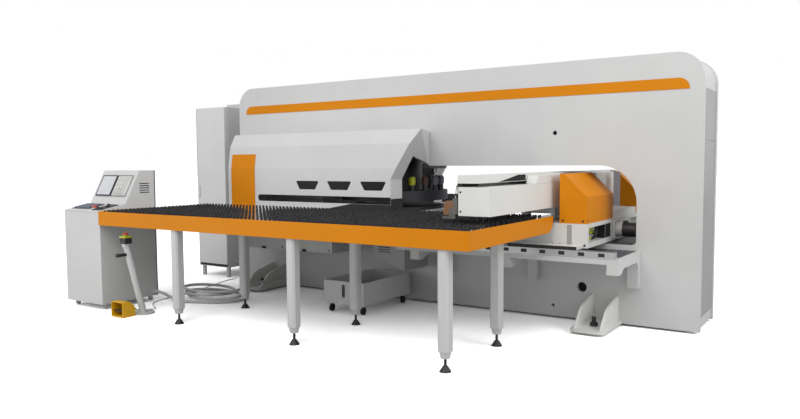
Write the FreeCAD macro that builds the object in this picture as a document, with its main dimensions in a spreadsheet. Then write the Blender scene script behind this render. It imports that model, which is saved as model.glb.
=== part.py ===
import FreeCAD, Part
import math
import os
import Sketcher
from FreeCAD import Placement, Rotation, Vector

# CNC turret punch press: closed O-frame, turret, sheet table, cross beam, console.
#
# Axes: +X runs along the frame from the turret end to the drive end, +Y from the
# operator's side to the rear, +Z up from the floor.  Lengths are millimetres.

doc = FreeCAD.newDocument("turret_punch_press")

# ---------------------------------------------------------------- driving sizes
SIZES = (
    # frame: a closed O of two thick plates with a box core between them
    ("frame_left", -2150, "left end of the frame"),
    ("frame_length", 5090, "frame along X"),
    ("frame_middle", 40, "middle plane of the frame"),
    ("frame_thickness", 620, "frame over both plates"),
    ("frame_top", 2250, "top of the frame"),
    ("frame_bottom", 20, "underside of the frame above the floor"),
    ("frame_plate", 50, "thickness of the front and rear plates"),
    ("frame_rim", 14, "core set back inside the plates' edge"),
    ("frame_corner", 215, "radius of the top corners"),
    ("window_left", -900, "left side of the throat"),
    ("right_jamb", 505, "frame to the right of the throat"),
    ("window_bottom", 690, "floor of the throat"),
    ("window_top", 1355, "ceiling of the throat"),
    ("window_head_top", 1500, "ceiling over the turret"),
    ("window_head_right", 130, "right end of the raised ceiling"),
    ("window_head_slope", 310, "run of the slope down from it"),
    ("window_round", 320, "radius of the upper right throat corner"),
    ("window_small_round", 35, "radius of the other throat corners"),
    ("sight_hole_inset", 1217, "small hole before the frame's right end"),
    ("sight_hole_height", 1638, "its height"),
    ("sight_hole_radius", 20, "its radius"),
    ("lift_hole_inset", 959, "large hole before the frame's right end"),
    ("lift_hole_height", 300, "its height"),
    ("lift_hole_radius", 43, "its radius"),
    ("drain_hole_inset", 1219, "lower hole before the frame's right end"),
    ("drain_hole_height", 114, "its height"),
    ("drain_hole_radius", 14, "its radius"),
    ("hole_depth", 40, "depth of the three holes"),
    ("end_cover_bottom", 120, "lower edge of the end covers"),
    ("end_cover_seam", 1549, "joint between lower and upper end cover"),
    ("end_cover_top", 1967, "upper edge of the end covers"),
    ("end_cover_sheet", 6, "sheet of the end covers"),
    ("seam_gap", 8, "gap between the end covers"),
    ("stripe_left", -2034, "left end of the coloured strip"),
    ("stripe_bottom", 1955, "its lower edge"),
    ("stripe_height", 90, "its height"),
    ("stripe_sheet", 3, "its sheet"),
    ("stripe_round", 78, "radius of its left end"),
    ("stripe_end_gap", 108, "its right end inside the frame's end"),
    # levelling brackets on the frame
    ("bracket_left_inset", 615, "left brackets inside the frame's left end"),
    ("bracket_right_inset", 755, "right brackets inside its right end"),
    ("bracket_reach", 500, "brackets in front of the plate"),
    ("bracket_width", 290, "width of their foot plate"),
    ("bracket_foot", 24, "thickness of their foot plate"),
    ("bracket_rise", 262, "top of their gussets"),
    ("bracket_knee_reach", 310, "bend of the gusset edge"),
    ("bracket_knee_rise", 190, "height of that bend"),
    ("gusset_spacing", 210, "between the two gussets"),
    ("gusset_sheet", 22, "thickness of a gusset"),
    ("jack_reach", 300, "levelling screw in front of the plate"),
    ("jack_radius", 18, "levelling screw"),
    ("jack_height", 120, "its upper end"),
    ("pad_radius", 55, "pad under the screw"),
    ("pad_height", 20, "thickness of the pad"),
    # ledges that carry the saddle, front and rear
    ("ledge_left", 470, "left end of the ledges"),
    ("ledge_overlap", 41, "ledges beyond the throat's right side"),
    ("ledge_reach", 642, "ledges in front of the plate"),
    ("ledge_top", 643, "top of the ledges"),
    ("ledge_slab", 40, "thickness of the slab"),
    ("ledge_rib_width", 90, "width of the arched brackets"),
    ("ledge_rib_inset", 156, "left arched bracket inside the ledge's left end"),
    ("ledge_rib_nose", 118, "depth of the bracket at its front"),
    ("ledge_rib_drop", 302, "depth of the bracket at the plate"),
    ("ledge_rib_arch", 150, "radius of its arch"),
    ("rail_height", 57, "height of the guide rails"),
    ("rail_width", 60, "width of the guide rails"),
    ("rail_blocks", 11, "clamp blocks along a rail"),
    ("rail_end_inset", 30, "rail inside the ledge's right end"),
    ("rail_block_inset", 63, "outer clamp blocks inside the rail's ends"),
    ("rail_block_length", 50, "length of a clamp block"),
    ("rail_block_width", 34, "width of a clamp block"),
    ("rail_block_height", 26, "height of a clamp block"),
    # saddle that runs along the frame through the throat
    ("saddle_length", 660, "saddle along X"),
    ("saddle_inset", 246, "saddle at rest before the throat's right side"),
    ("saddle_reach", 492, "saddle in front of the plate"),
    ("saddle_bottom", 700.3, "underside of the saddle"),
    ("saddle_top", 893, "top of the saddle"),
    ("saddle_travel", 1000, "stroke of the saddle towards the turret"),
    ("saddle_pocket_height", 120, "opening in the right side"),
    ("saddle_pocket_length", 420, "its length"),
    ("saddle_pocket_depth", 90, "its depth"),
    ("motor_offset", 60, "drive motor in front of the middle plane"),
    ("motor_radius", 62, "drive motor"),
    ("motor_length", 170, "length of the drive motor"),
    ("chain_width", 50, "width of the cable chain"),
    ("chain_height", 65, "height of the cable chain"),
    ("chain_length", 184, "length of the cable chain"),
    ("chain_link", 17, "length of one link"),
    ("chain_pitch", 23, "between the links"),
    ("drive_cover_width", 221, "width of the drive covers"),
    ("drive_cover_inset", 11, "drive covers inside the saddle's right side"),
    ("drive_cover_top", 1291, "top of the drive cover"),
    ("drive_cover_flat", 34, "width of its flat top"),
    ("drive_cover_shoulder", 1109, "foot of its slope"),
    ("drive_cover_length", 703, "length of the front drive cover"),
    ("drive_cover_rear_length", 142, "length of the rear drive cover"),
    ("bridge_height", 62, "raised deck of the saddle between the covers"),
    # cross beam with its covers, carriage and clamps
    ("beam_setback", 71, "beam behind the saddle's left side"),
    ("beam_width", 40, "width of the beam"),
    ("beam_bottom", 1000, "underside of the beam"),
    ("beam_top", 1270, "top of the beam"),
    ("beam_reach", 1610, "beam cover in front of the plate"),
    ("beam_end_inset", 60, "beam's ends inside its cover"),
    ("beam_cover_width", 245, "width of the beam cover"),
    ("beam_cover_bottom", 1015, "underside of the beam cover"),
    ("beam_cover_top", 1215, "top of the beam cover"),
    ("beam_cover_sheet", 4, "sheet of the beam cover"),
    ("tray_height", 57, "height of the cable tray on the beam"),
    ("tray_width", 163, "width of the cable tray"),
    ("tray_setback", 27, "tray behind the beam's left side"),
    ("tray_rise", 27, "top of the tray over the beam"),
    ("tray_end_inset", 12, "tray inside the ends of the cover"),
    ("tray_sheet", 4, "sheet of the cable tray"),
    ("carriage_depth", 38, "clamp carriage along X"),
    ("carriage_bottom", 1022, "underside of the carriage"),
    ("carriage_top", 1130, "top of the carriage"),
    ("carriage_length", 1500, "length of the carriage"),
    ("carriage_start", 60, "carriage behind the beam's front end"),
    ("carriage_travel", 2200, "stroke of the carriage along the beam"),
    ("carriage_gap", 0.3, "gap between carriage and beam"),
    ("clamp_width", 90, "width of a clamp"),
    ("clamp_reach", 105, "clamp in front of the carriage"),
    ("clamp_bottom", 984, "underside of the lower jaw"),
    ("clamp_jaw", 14, "thickness of the lower jaw"),
    ("clamp_mouth", 10, "open mouth between the jaws"),
    ("clamp_pin_radius", 9, "pivot of the upper jaw"),
    ("clamp_cheek", 12, "cheek that holds the pin"),
    ("clamp_top", 1109, "top of the upper jaw"),
    # turret
    ("turret_along", -170, "turret axis along X"),
    ("turret_radius", 560, "radius of both discs"),
    ("turret_disc", 100, "thickness of both discs"),
    ("die_level", 945, "top of the lower disc"),
    ("turret_mouth", 60, "between the discs"),
    ("station_circle", 492, "radius of the station circle"),
    ("station_count", 20, "stations in the turret"),
    ("punch_radius", 27, "punch body"),
    ("punch_spring_radius", 35, "elastic spring on a punch"),
    ("punch_foot", 62, "punch body under its spring"),
    ("punch_spring", 70, "height of the spring"),
    ("punch_head", 12, "height of the punch head"),
    ("die_radius", 38, "die in the lower disc"),
    ("die_bore", 16, "hole in a die"),
    ("turret_fit", 0.3, "running gap at the discs"),
    ("base_radius", 290, "bearing base of the lower disc"),
    ("striker_radius", 34, "striker"),
    ("striker_gap", 34, "striker above the punch head"),
    ("striker_length", 90, "length of the striker"),
    ("striker_nose", 45, "striker below its housing"),
    ("head_width", 150, "ram housing along X"),
    ("head_depth", 220, "ram housing along Y"),
    ("slide_fit", 0.05, "running gap of guided pieces"),
    # hoods over the turret, front and rear
    ("hood_left", -1680, "left end of the hoods"),
    ("hood_right", 412, "right end of the front hood"),
    ("hood_rear_right", -131, "right end of the rear hood"),
    ("hood_side_fold", 1237, "height at which the right side leans outwards"),
    ("hood_side_run", 263, "how far it leans outwards at the top"),
    ("hood_side_back", 35, "right side at the plate beyond its lower part"),
    ("hood_reach", 632, "hood's face in front of the plate"),
    ("hood_bottom", 1070, "lower edge over the sheet slot"),
    ("hood_fold_low", 1338, "lower fold of the face"),
    ("hood_fold_mid", 1560, "middle fold of the face"),
    ("hood_fold_mid_reach", 598, "reach of the middle fold"),
    ("hood_top_reach", 525, "reach of the fold to the roof"),
    ("hood_top", 1692, "roof of the hoods"),
    ("hood_sheet", 8, "sheet of the hoods"),
    ("hood_flange", 190, "side flange of the hoods"),
    ("hood_gusset_high", 1448, "lower edge of the side panel at the flange"),
    ("hood_gusset_low", 1355, "lower edge of the side panel at the plate"),
    ("hood_slot_left", -1251, "left end of the sheet slot"),
    ("hood_slot_round", 30, "its rounded corner"),
    ("hood_sill_top", 1004, "top of the sill under the slot"),
    ("hood_window_first", -730, "left window of the hood"),
    ("hood_window_pitch", 397, "between the windows"),
    ("hood_window_width", 298, "upper width of a window"),
    ("hood_window_taper", 48, "taper at each side"),
    ("hood_window_top", 1214, "top of the windows"),
    ("hood_window_bottom", 1131, "bottom of the windows"),
    ("hood_window_round", 10, "radius of their corners"),
    ("pane_sheet", 5, "glass behind a window"),
    ("accent_left", -1633, "left side of the coloured panel"),
    ("accent_width", 343, "width of the coloured panel"),
    ("accent_sheet", 3, "sheet of the coloured panel"),
    ("accent_top", 1484, "its upper edge"),
    # sheet table, front and rear
    ("table_left", -1994, "left end of the tables"),
    ("table_right", 1913, "right end of the tables"),
    ("table_reach", 1974, "table edge in front of the plate"),
    ("table_top", 950, "upper edge of the coloured fascia"),
    ("deck_top", 930, "top of the steel deck"),
    ("deck_sheet", 10, "thickness of the deck"),
    ("deck_channel_left", 500, "left end of the saddle channel"),
    ("deck_channel_reach", 520, "deck edge along the channel"),
    ("deck_gap", 3, "deck in front of the plate"),
    ("turret_clearance", 18, "deck around the lower disc"),
    ("skirt_height", 80, "beam under the deck"),
    ("skirt_width", 50, "width of that beam"),
    ("fascia_height", 130, "height of the fascia"),
    ("fascia_sheet", 5, "sheet of the fascia"),
    ("fascia_gap", 0.5, "fascia in front of the table frame"),
    ("fascia_back_reach", 514, "rear end of the side fascia"),
    ("fascia_round", 110, "radius of its lower rear corner"),
    ("leg_first", -953, "left legs"),
    ("leg_pitch", 1331, "between the legs"),
    ("leg_row_inset", 56, "outer legs inside the table's edge"),
    ("leg_row_pitch", 786, "between the two rows of legs"),
    ("leg_width", 84, "width of a leg"),
    ("leg_chamfer", 14, "chamfer of a leg"),
    ("leg_bottom", 92, "lower end of a leg"),
    ("leg_taper", 45, "taper at the lower end"),
    ("leg_taper_inset", 10, "inset of that taper"),
    ("foot_radius", 42, "levelling foot of a leg"),
    ("foot_height", 40, "height of its bell"),
    ("foot_screw", 10, "its screw"),
    ("brush_pitch", 46, "between the brush rows"),
    ("brush_width", 12, "width of a brush row"),
    ("brush_height", 32, "height of the brushes"),
    ("brush_edge", 40, "brush rows inside the deck's edge"),
    ("brush_rows", 31, "rows of bristles at most"),
    # covers and scrap collection under the table
    ("lower_cover_left", -1700, "left end of the lower cover"),
    ("lower_cover_right", -430, "right end of the lower cover"),
    ("lower_cover_reach", 440, "lower cover in front of the plate"),
    ("lower_cover_bottom", 482, "underside of the lower cover"),
    ("lower_cover_top", 815, "top of the lower cover"),
    ("chute_left", 60, "left side of the scrap chute"),
    ("chute_width", 360, "width of the scrap chute"),
    ("chute_top", 660, "upper end of the chute"),
    ("chute_bottom", 368, "lower edge of the chute at its right"),
    ("chute_fall", 117, "how much higher its left edge is"),
    ("chute_reach", 420, "reach of the chute"),
    ("chute_sheet", 5, "sheet of the chute"),
    ("cart_left", -196, "left side of the scrap cart"),
    ("cart_width", 460, "width of the scrap cart"),
    ("cart_front_reach", 861, "front of the scrap cart"),
    ("cart_length", 780, "length of the scrap cart"),
    ("cart_bottom", 92, "underside of the scrap cart"),
    ("cart_top", 303, "top of the scrap cart"),
    ("cart_sheet", 5, "sheet of the scrap cart"),
    ("cart_wheel_radius", 36, "wheels of the scrap cart"),
    # electrical cabinet
    ("cabinet_left", -2940, "left side of the cabinet"),
    ("cabinet_width", 510, "width of the cabinet"),
    ("cabinet_front", -252, "front of the cabinet"),
    ("cabinet_depth", 820, "depth of the cabinet"),
    ("cabinet_bottom", 122, "underside of the cabinet"),
    ("cabinet_top", 2068, "top of the cabinet"),
    ("cabinet_door_sheet", 18, "thickness of the door"),
    ("cabinet_door_gap", 0.3, "gap behind the door"),
    ("cabinet_roof", 80, "height of the raised roof"),
    ("cabinet_roof_setback", 520, "roof behind the front"),
    ("cabinet_foot_radius", 26, "feet of the cabinet"),
    ("cabinet_wall", 8, "walls of the cabinet"),
    ("door_reveal", 26, "dark reveal beside the door"),
    ("cabinet_gland_across", -120, "cable entry of the cabinet"),
    ("cabinet_gland_height", 190, "its height"),
    # control console
    ("console_left", -2577, "left side of the console"),
    ("console_width", 572, "width of the console"),
    ("console_front", -2222, "front of the console"),
    ("console_depth", 632, "depth of the console"),
    ("console_bottom", 56, "underside of the console"),
    ("console_desk", 948, "front of the desk"),
    ("console_desk_rise", 52, "rise of the desk towards the screen"),
    ("console_screen_front", 281, "foot of the screen panel behind the front"),
    ("console_screen_back", 452, "top of the screen panel behind the front"),
    ("console_top", 1326, "top of the console"),
    ("console_rear_sheet", 12, "dark rear cover"),
    ("console_wall", 6, "walls of the console"),
    ("console_vent_bottom", 1104, "lowest vent slot"),
    ("console_panel_margin", 45, "panels inside the console's sides"),
    ("console_board_width", 270, "width of the keyboard"),
    ("console_stop_inset", 208, "stop button inside the right side"),
    ("console_stop_reach", 90, "stop button behind the front"),
    ("caster_radius", 20, "console casters"),
    ("caster_width", 18, "width of their wheels"),
    ("caster_inset", 60, "casters inside the console's corners"),
    ("caster_trail", 16, "wheel behind the swivel axis"),
    # stop buttons
    ("stop_collar", 26, "collar of a stop button"),
    ("stop_collar_height", 8, "height of that collar"),
    ("stop_sink", 6, "collar let into its seat"),
    ("stop_stem", 10, "stem of a stop button"),
    ("stop_travel", 5, "stroke of a stop button"),
    ("stop_head", 22, "mushroom head"),
    ("stop_head_height", 16, "height of the head"),
    # foot station
    ("post_foot_along", -1590, "foot of the post along X"),
    ("post_foot_across", -2080, "foot of the post along Y"),
    ("post_base_radius", 100, "base plate of the post"),
    ("post_base_height", 14, "thickness of the base plate"),
    ("post_radius", 30, "post"),
    ("lever_height", 560, "side lever of the post"),
    ("lever_length", 130, "length of that lever"),
    ("lever_radius", 9, "its rod"),
    ("knob_length", 34, "knob on its end"),
    ("knob_radius", 14, "radius of that knob"),
    ("post_lean_along", 75, "lean of the post towards the console"),
    ("post_lean_across", 110, "lean of the post towards the front"),
    ("station_bottom", 660, "underside of the control box"),
    ("station_width", 80, "width of the control box"),
    ("station_height", 54, "height of the control box"),
    ("station_lid", 16, "its coloured lid"),
    ("pedal_left", -1722, "left side of the pedal guard"),
    ("pedal_front", -2324, "front of the pedal guard"),
    ("pedal_width", 164, "width of the pedal guard"),
    ("pedal_length", 134, "length of the pedal guard"),
    ("pedal_height", 140, "height of the pedal guard"),
    ("pedal_wall", 6, "wall of the pedal guard"),
    ("pedal_axis", -2216, "pedal pin along Y"),
    ("pedal_axis_height", 38, "height of the pedal pin"),
    ("pedal_pin", 5, "pedal pin"),
    # conduit and leads
    ("conduit_diameter", 28, "grey conduit"),
    ("conduit_across", -1627, "conduit entry of the console"),
    ("conduit_height", 96, "its height"),
    ("loop_along", -1570, "middle of the loops along X"),
    ("loop_across", -1255, "middle of the loops along Y"),
    ("loop_length", 340, "half length of the loops"),
    ("loop_width", 215, "half width of the loops"),
    ("loop_laps", 3, "laps of the conduit's pile"),
    ("thick_gland", 20, "gland of the conduit"),
    ("thin_gland", 10, "gland of a lead"),
    ("gland_length", 22, "length of the glands"),
    ("lead_diameter", 9, "black and white leads"),
)


class Size:
    """A length with its number and with the sheet formula that it follows."""

    def __init__(self, value, formula):
        self.value = value
        self.formula = formula

    def combine(self, other, sign, result):
        right = other.formula if isinstance(other, Size) else "%.6g" % other
        return Size(result, "(%s %s %s)" % (self.formula, sign, right))

    def __add__(self, other):
        return self.combine(other, "+", self.value + number(other))

    def __sub__(self, other):
        return self.combine(other, "-", self.value - number(other))

    def __mul__(self, other):
        return self.combine(other, "*", self.value * number(other))

    def __truediv__(self, other):
        return self.combine(other, "/", self.value / number(other))

    def __radd__(self, other):
        return self + other

    def __rmul__(self, other):
        return self * other

    def __rsub__(self, other):
        return self * -1 + other

    def __neg__(self):
        return self * -1


def number(size):
    """The plain number of a size or of a number."""
    return size.value if isinstance(size, Size) else float(size)


class Sheet:
    """The spreadsheet of driving sizes; each alias is read as an attribute."""

    def __init__(self, rows):
        cells = doc.addObject("Spreadsheet::Sheet", "Sizes")
        for row, (alias, value, note) in enumerate(rows, start=1):
            cells.set("A%d" % row, note)
            cells.set("B%d" % row, str(value))
            cells.setAlias("B%d" % row, alias)
            setattr(self, alias, Size(float(value), "Sizes." + alias))


S = Sheet(SIZES)
doc.recompute()
pieces = {}


# ------------------------------------------------------------ modelling helpers
def bind(thing, prop, size):
    """Drive a property of a document object by a size."""
    if isinstance(size, Size):
        thing.setExpression(prop, size.formula)
        return
    owner, _, leaf = prop.rpartition(".")
    if not owner:
        setattr(thing, leaf, size)


def place(thing, x, y, z, rotation=None):
    """Put an object at a place whose coordinates are sizes or numbers."""
    base = Vector(number(x), number(y), number(z))
    thing.Placement = Placement(base, rotation or Rotation())
    for axis, size in zip("xyz", (x, y, z)):
        bind(thing, "Placement.Base." + axis, size)
    return thing


def ordered(pair):
    """The two ends of a span, the lower one first."""
    return sorted(pair, key=number)


def block(name, x, y, z):
    """A box between the given ends along each axis."""
    thing = doc.addObject("Part::Box", name)
    spans = [ordered(span) for span in (x, y, z)]
    for prop, (low, high) in zip(("Length", "Width", "Height"), spans):
        length = high - low if isinstance(high, Size) else (low - high) * -1
        if isinstance(length, Size):
            setattr(thing, prop, length.value)
        bind(thing, prop, length)
    return place(thing, spans[0][0], spans[1][0], spans[2][0])


TURN = {
    "z": Rotation(),
    "y": Rotation(Vector(1, 0, 0), -90),
    "x": Rotation(Vector(0, 1, 0), 90),
}


def rod(name, x, y, z, radius, length, axis="z"):
    """A cylinder that starts at a point and runs along an axis."""
    thing = doc.addObject("Part::Cylinder", name)
    thing.Radius = number(radius)
    thing.Height = number(length)
    bind(thing, "Radius", radius)
    bind(thing, "Height", length)
    return place(thing, x, y, z, TURN[axis])


def cone(name, x, y, z, radius_low, radius_high, height):
    """An upright cone or taper."""
    thing = doc.addObject("Part::Cone", name)
    for prop, size in (("Radius1", radius_low), ("Radius2", radius_high), ("Height", height)):
        setattr(thing, prop, number(size))
        bind(thing, prop, size)
    return place(thing, x, y, z)


def fuse(name, *things):
    """One solid from several that touch."""
    result = doc.addObject("Part::MultiFuse", name)
    result.Shapes = list(things)
    result.Refine = True
    return result


def cut(name, base, *tools):
    """A solid less one or more tools."""
    tool = tools[0]
    if len(tools) > 1:
        tool = doc.addObject("Part::Compound", name + "_tools")
        tool.Links = list(tools)
    result = doc.addObject("Part::Cut", name)
    result.Base = base
    result.Tool = tool
    result.Refine = True
    return result


def common(name, base, tool):
    """What two solids share."""
    result = doc.addObject("Part::Common", name)
    result.Base = base
    result.Tool = tool
    result.Refine = True
    return result


def group(name, *things):
    """Several like solids in one sub-part."""
    result = doc.addObject("Part::Compound", name)
    result.Links = list(things)
    return result


def mirrored(name, source):
    """The rear twin of a front piece, across the frame's middle plane."""
    result = doc.addObject("Part::Mirroring", name)
    result.Source = source
    result.Normal = Vector(0, 1, 0)
    result.Base = Vector(0, S.frame_middle.value, 0)
    bind(result, "Base.y", S.frame_middle)
    return result


def keep(name, thing):
    """Register a finished sub-part under its node name."""
    thing.Label = name
    pieces[name] = thing
    return thing


ROLE = {"XY": "XY_Plane", "XZ": "XZ_Plane", "YZ": "YZ_Plane"}


def unit(start, end):
    """Direction from one plane point to another."""
    step = end - start
    return step / step.Length


def draw_outline(sketch, corners):
    """A closed outline of lines, rounded where a corner gives a radius."""
    points = [Vector(number(u), number(v), 0) for u, v, _ in corners]
    count = len(points)
    radii = [number(radius) for _, _, radius in corners]
    starts, ends, arcs = list(points), list(points), [None] * count
    for i in range(count):
        if radii[i] <= 0:
            continue
        before = unit(points[i], points[i - 1])
        after = unit(points[i], points[(i + 1) % count])
        half = before.getAngle(after) / 2
        reach = radii[i] / math.tan(half)
        ends[i] = points[i] + before * reach
        starts[i] = points[i] + after * reach
        middle = points[i] + unit(Vector(), before + after) * (radii[i] / math.sin(half))
        arcs[i] = (middle, (after.cross(before)).z > 0)
    lines = [
        sketch.addGeometry(Part.LineSegment(starts[i], ends[(i + 1) % count]), False)
        for i in range(count)
    ]
    for i, (u, v, radius) in enumerate(corners):
        line_in, line_out = lines[i - 1], lines[i]
        if arcs[i] is None:
            sketch.addConstraint(Sketcher.Constraint("Coincident", line_in, 2, line_out, 1))
            fix_point(sketch, line_out, 1, u, v)
            continue
        middle, leftward = arcs[i]
        first, last = (ends[i], starts[i]) if leftward else (starts[i], ends[i])
        angles = [math.atan2(p.y - middle.y, p.x - middle.x) for p in (first, last)]
        circle = Part.Circle(middle, Vector(0, 0, 1), radii[i])
        arc = sketch.addGeometry(Part.ArcOfCircle(circle, angles[0], angles[1]), False)
        near, far = (1, 2) if leftward else (2, 1)
        corner = sketch.addGeometry(Part.Point(points[i]), True)
        sketch.addConstraint(Sketcher.Constraint("Tangent", line_in, 2, arc, near))
        sketch.addConstraint(Sketcher.Constraint("Tangent", arc, far, line_out, 1))
        sketch.addConstraint(Sketcher.Constraint("PointOnObject", corner, 1, line_in))
        sketch.addConstraint(Sketcher.Constraint("PointOnObject", corner, 1, line_out))
        fix_point(sketch, corner, 1, u, v)
        drive(sketch, Sketcher.Constraint("Radius", arc, radii[i]), radius)


def drive(sketch, constraint, size):
    """Add a constraint and let a size set its value."""
    index = sketch.addConstraint(constraint)
    if isinstance(size, Size):
        sketch.setExpression("Constraints[%d]" % index, size.formula)


def fix_point(sketch, geometry, position, u, v):
    """Hold a point of the sketch at its two coordinates."""
    for kind, size in (("DistanceX", u), ("DistanceY", v)):
        drive(sketch, Sketcher.Constraint(kind, -1, 1, geometry, position, number(size)), size)


def new_sketch(body, name, plane, start, end):
    """A sketch on a plane through the end that its pad starts from."""
    sketch = body.newObject("Sketcher::SketchObject", name)
    support = [f for f in body.Origin.OriginFeatures if f.Role == ROLE[plane]][0]
    sketch.AttachmentSupport = (support, [""])
    sketch.MapMode = "FlatFace"
    offset = -1 * end if plane == "XZ" else start
    sketch.AttachmentOffset = Placement(Vector(0, 0, number(offset)), Rotation())
    bind(sketch, "AttachmentOffset.Base.z", offset)
    return sketch


def add_pad(body, name, plane, corners, start, end, holes=()):
    """A pad between two planes, with round holes where they are given."""
    sketch = new_sketch(body, name + "_sketch", plane, start, end)
    draw_outline(sketch, corners)
    for u, v, radius in holes:
        draw_circle(sketch, u, v, radius)
    pad = body.newObject("PartDesign::Pad", name + "_pad")
    pad.Profile = sketch
    length = end - start
    pad.Length = number(length)
    bind(pad, "Length", length)
    return pad


def draw_circle(sketch, u, v, radius):
    """A circle held at its centre."""
    centre = Vector(number(u), number(v), 0)
    circle = sketch.addGeometry(Part.Circle(centre, Vector(0, 0, 1), number(radius)), False)
    fix_point(sketch, circle, 3, u, v)
    drive(sketch, Sketcher.Constraint("Radius", circle, number(radius)), radius)


def prism(name, plane, corners, start, end, holes=()):
    """A body with one padded outline."""
    body = doc.addObject("PartDesign::Body", name)
    add_pad(body, name, plane, corners, start, end, holes)
    return body


def add_pocket(body, name, plane, corners, start, end, circles=()):
    """Take an outline or circles out of a body between two planes."""
    sketch = new_sketch(body, name + "_sketch", plane, start, end)
    if corners:
        draw_outline(sketch, corners)
    for u, v, radius in circles:
        draw_circle(sketch, u, v, radius)
    pocket = body.newObject("PartDesign::Pocket", name + "_pocket")
    pocket.Profile = sketch
    pocket.Reversed = True
    length = end - start
    pocket.Length = number(length)
    bind(pocket, "Length", length)
    return pocket


def rectangle(u, v, radius=0):
    """The corners of a rectangle between two spans."""
    (left, right), (low, high) = ordered(u), ordered(v)
    return [(left, low, radius), (right, low, radius), (right, high, radius), (left, high, radius)]


# ----------------------------------------------------------- places used by many
frame_front = S.frame_middle - S.frame_thickness / 2
frame_rear = S.frame_middle + S.frame_thickness / 2
frame_right = S.frame_left + S.frame_length
window_right = frame_right - S.right_jamb
ledge_right = window_right + S.ledge_overlap
saddle_right = window_right - S.saddle_inset
saddle_left = saddle_right - S.saddle_length
drive_cover_right = saddle_right - S.drive_cover_inset
drive_cover_left = drive_cover_right - S.drive_cover_width
beam_left = saddle_left + S.beam_setback
beam_right = beam_left + S.beam_width
beam_cover_right = beam_right + S.beam_cover_width
conduit_floor = S.conduit_diameter / 2 + 0.5
conduit_rise = S.conduit_diameter + 5
conduit_end_along = S.loop_along + S.loop_length * 0.93 - 10
conduit_end_height = conduit_floor + conduit_rise * S.loop_laps + 34


def ahead(reach):
    """A place in front of the frame's front plate."""
    return frame_front - reach


# ------------------------------------------------------------------- main frame
def frame_outline(inset):
    """The O-frame's outer outline, set in by an amount."""
    left, right = S.frame_left + inset, frame_right - inset
    low, high = S.frame_bottom + inset, S.frame_top - inset
    radius = S.frame_corner - inset
    return [(left, low, 0), (right, low, 0), (right, high, radius), (left, high, radius)]


def make_frame():
    body = doc.addObject("PartDesign::Body", "frame_weldment")
    add_pad(body, "front_plate", "XZ", frame_outline(0 * S.frame_rim),
            frame_front, frame_front + S.frame_plate)
    add_pad(body, "frame_core", "XZ", frame_outline(S.frame_rim),
            frame_front + S.frame_plate, frame_rear - S.frame_plate)
    add_pad(body, "rear_plate", "XZ", frame_outline(0 * S.frame_rim),
            frame_rear - S.frame_plate, frame_rear)
    slope_end = S.window_head_right + S.window_head_slope
    small = S.window_small_round
    throat = [
        (S.window_left, S.window_bottom, small), (window_right, S.window_bottom, small),
        (window_right, S.window_top, S.window_round), (slope_end, S.window_top, 0),
        (S.window_head_right, S.window_head_top, 0), (S.window_left, S.window_head_top, small),
    ]
    add_pocket(body, "throat", "XZ", throat, frame_front, frame_rear)
    holes = [
        (frame_right - S.sight_hole_inset, S.sight_hole_height, S.sight_hole_radius),
        (frame_right - S.lift_hole_inset, S.lift_hole_height, S.lift_hole_radius),
        (frame_right - S.drain_hole_inset, S.drain_hole_height, S.drain_hole_radius),
    ]
    add_pocket(body, "plate_holes", "XZ", [], frame_front, frame_front + S.hole_depth, holes)
    gland = rod("frame_gland", conduit_end_along, frame_front - S.gland_length,
                conduit_end_height, S.thick_gland, S.gland_length, "y")
    keep("main_frame", fuse("frame", body, gland))


def make_end_covers():
    """Sheet covers between the plates, two at each end of the frame."""
    start = frame_front + S.frame_plate + 1
    end = frame_rear - S.frame_plate - 1
    covers = []
    for side, face in (("left", S.frame_left + S.frame_rim), ("right", frame_right - S.frame_rim)):
        out = S.end_cover_sheet * (-1 if side == "left" else 1)
        heights = (
            ("lower", S.end_cover_bottom, S.end_cover_seam - S.seam_gap / 2),
            ("upper", S.end_cover_seam + S.seam_gap / 2, S.end_cover_top),
        )
        for part, low, high in heights:
            covers.append(block("end_cover_%s_%s" % (side, part), (face, face + out),
                                (start, end), (low, high)))
    keep("frame_end_covers", group("end_covers", *covers))


def make_stripe():
    """The coloured strip along the front plate, its right end round like the frame."""
    low, high = S.stripe_bottom, S.stripe_bottom + S.stripe_height
    right = frame_right - S.stripe_end_gap
    corners = [
        (S.stripe_left, low, 0), (right, low, 0),
        (right, high, S.stripe_height - 5), (S.stripe_left, high, S.stripe_round),
    ]
    keep("accent_stripe", prism("stripe", "XZ", corners, ahead(S.stripe_sheet), frame_front))


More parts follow.
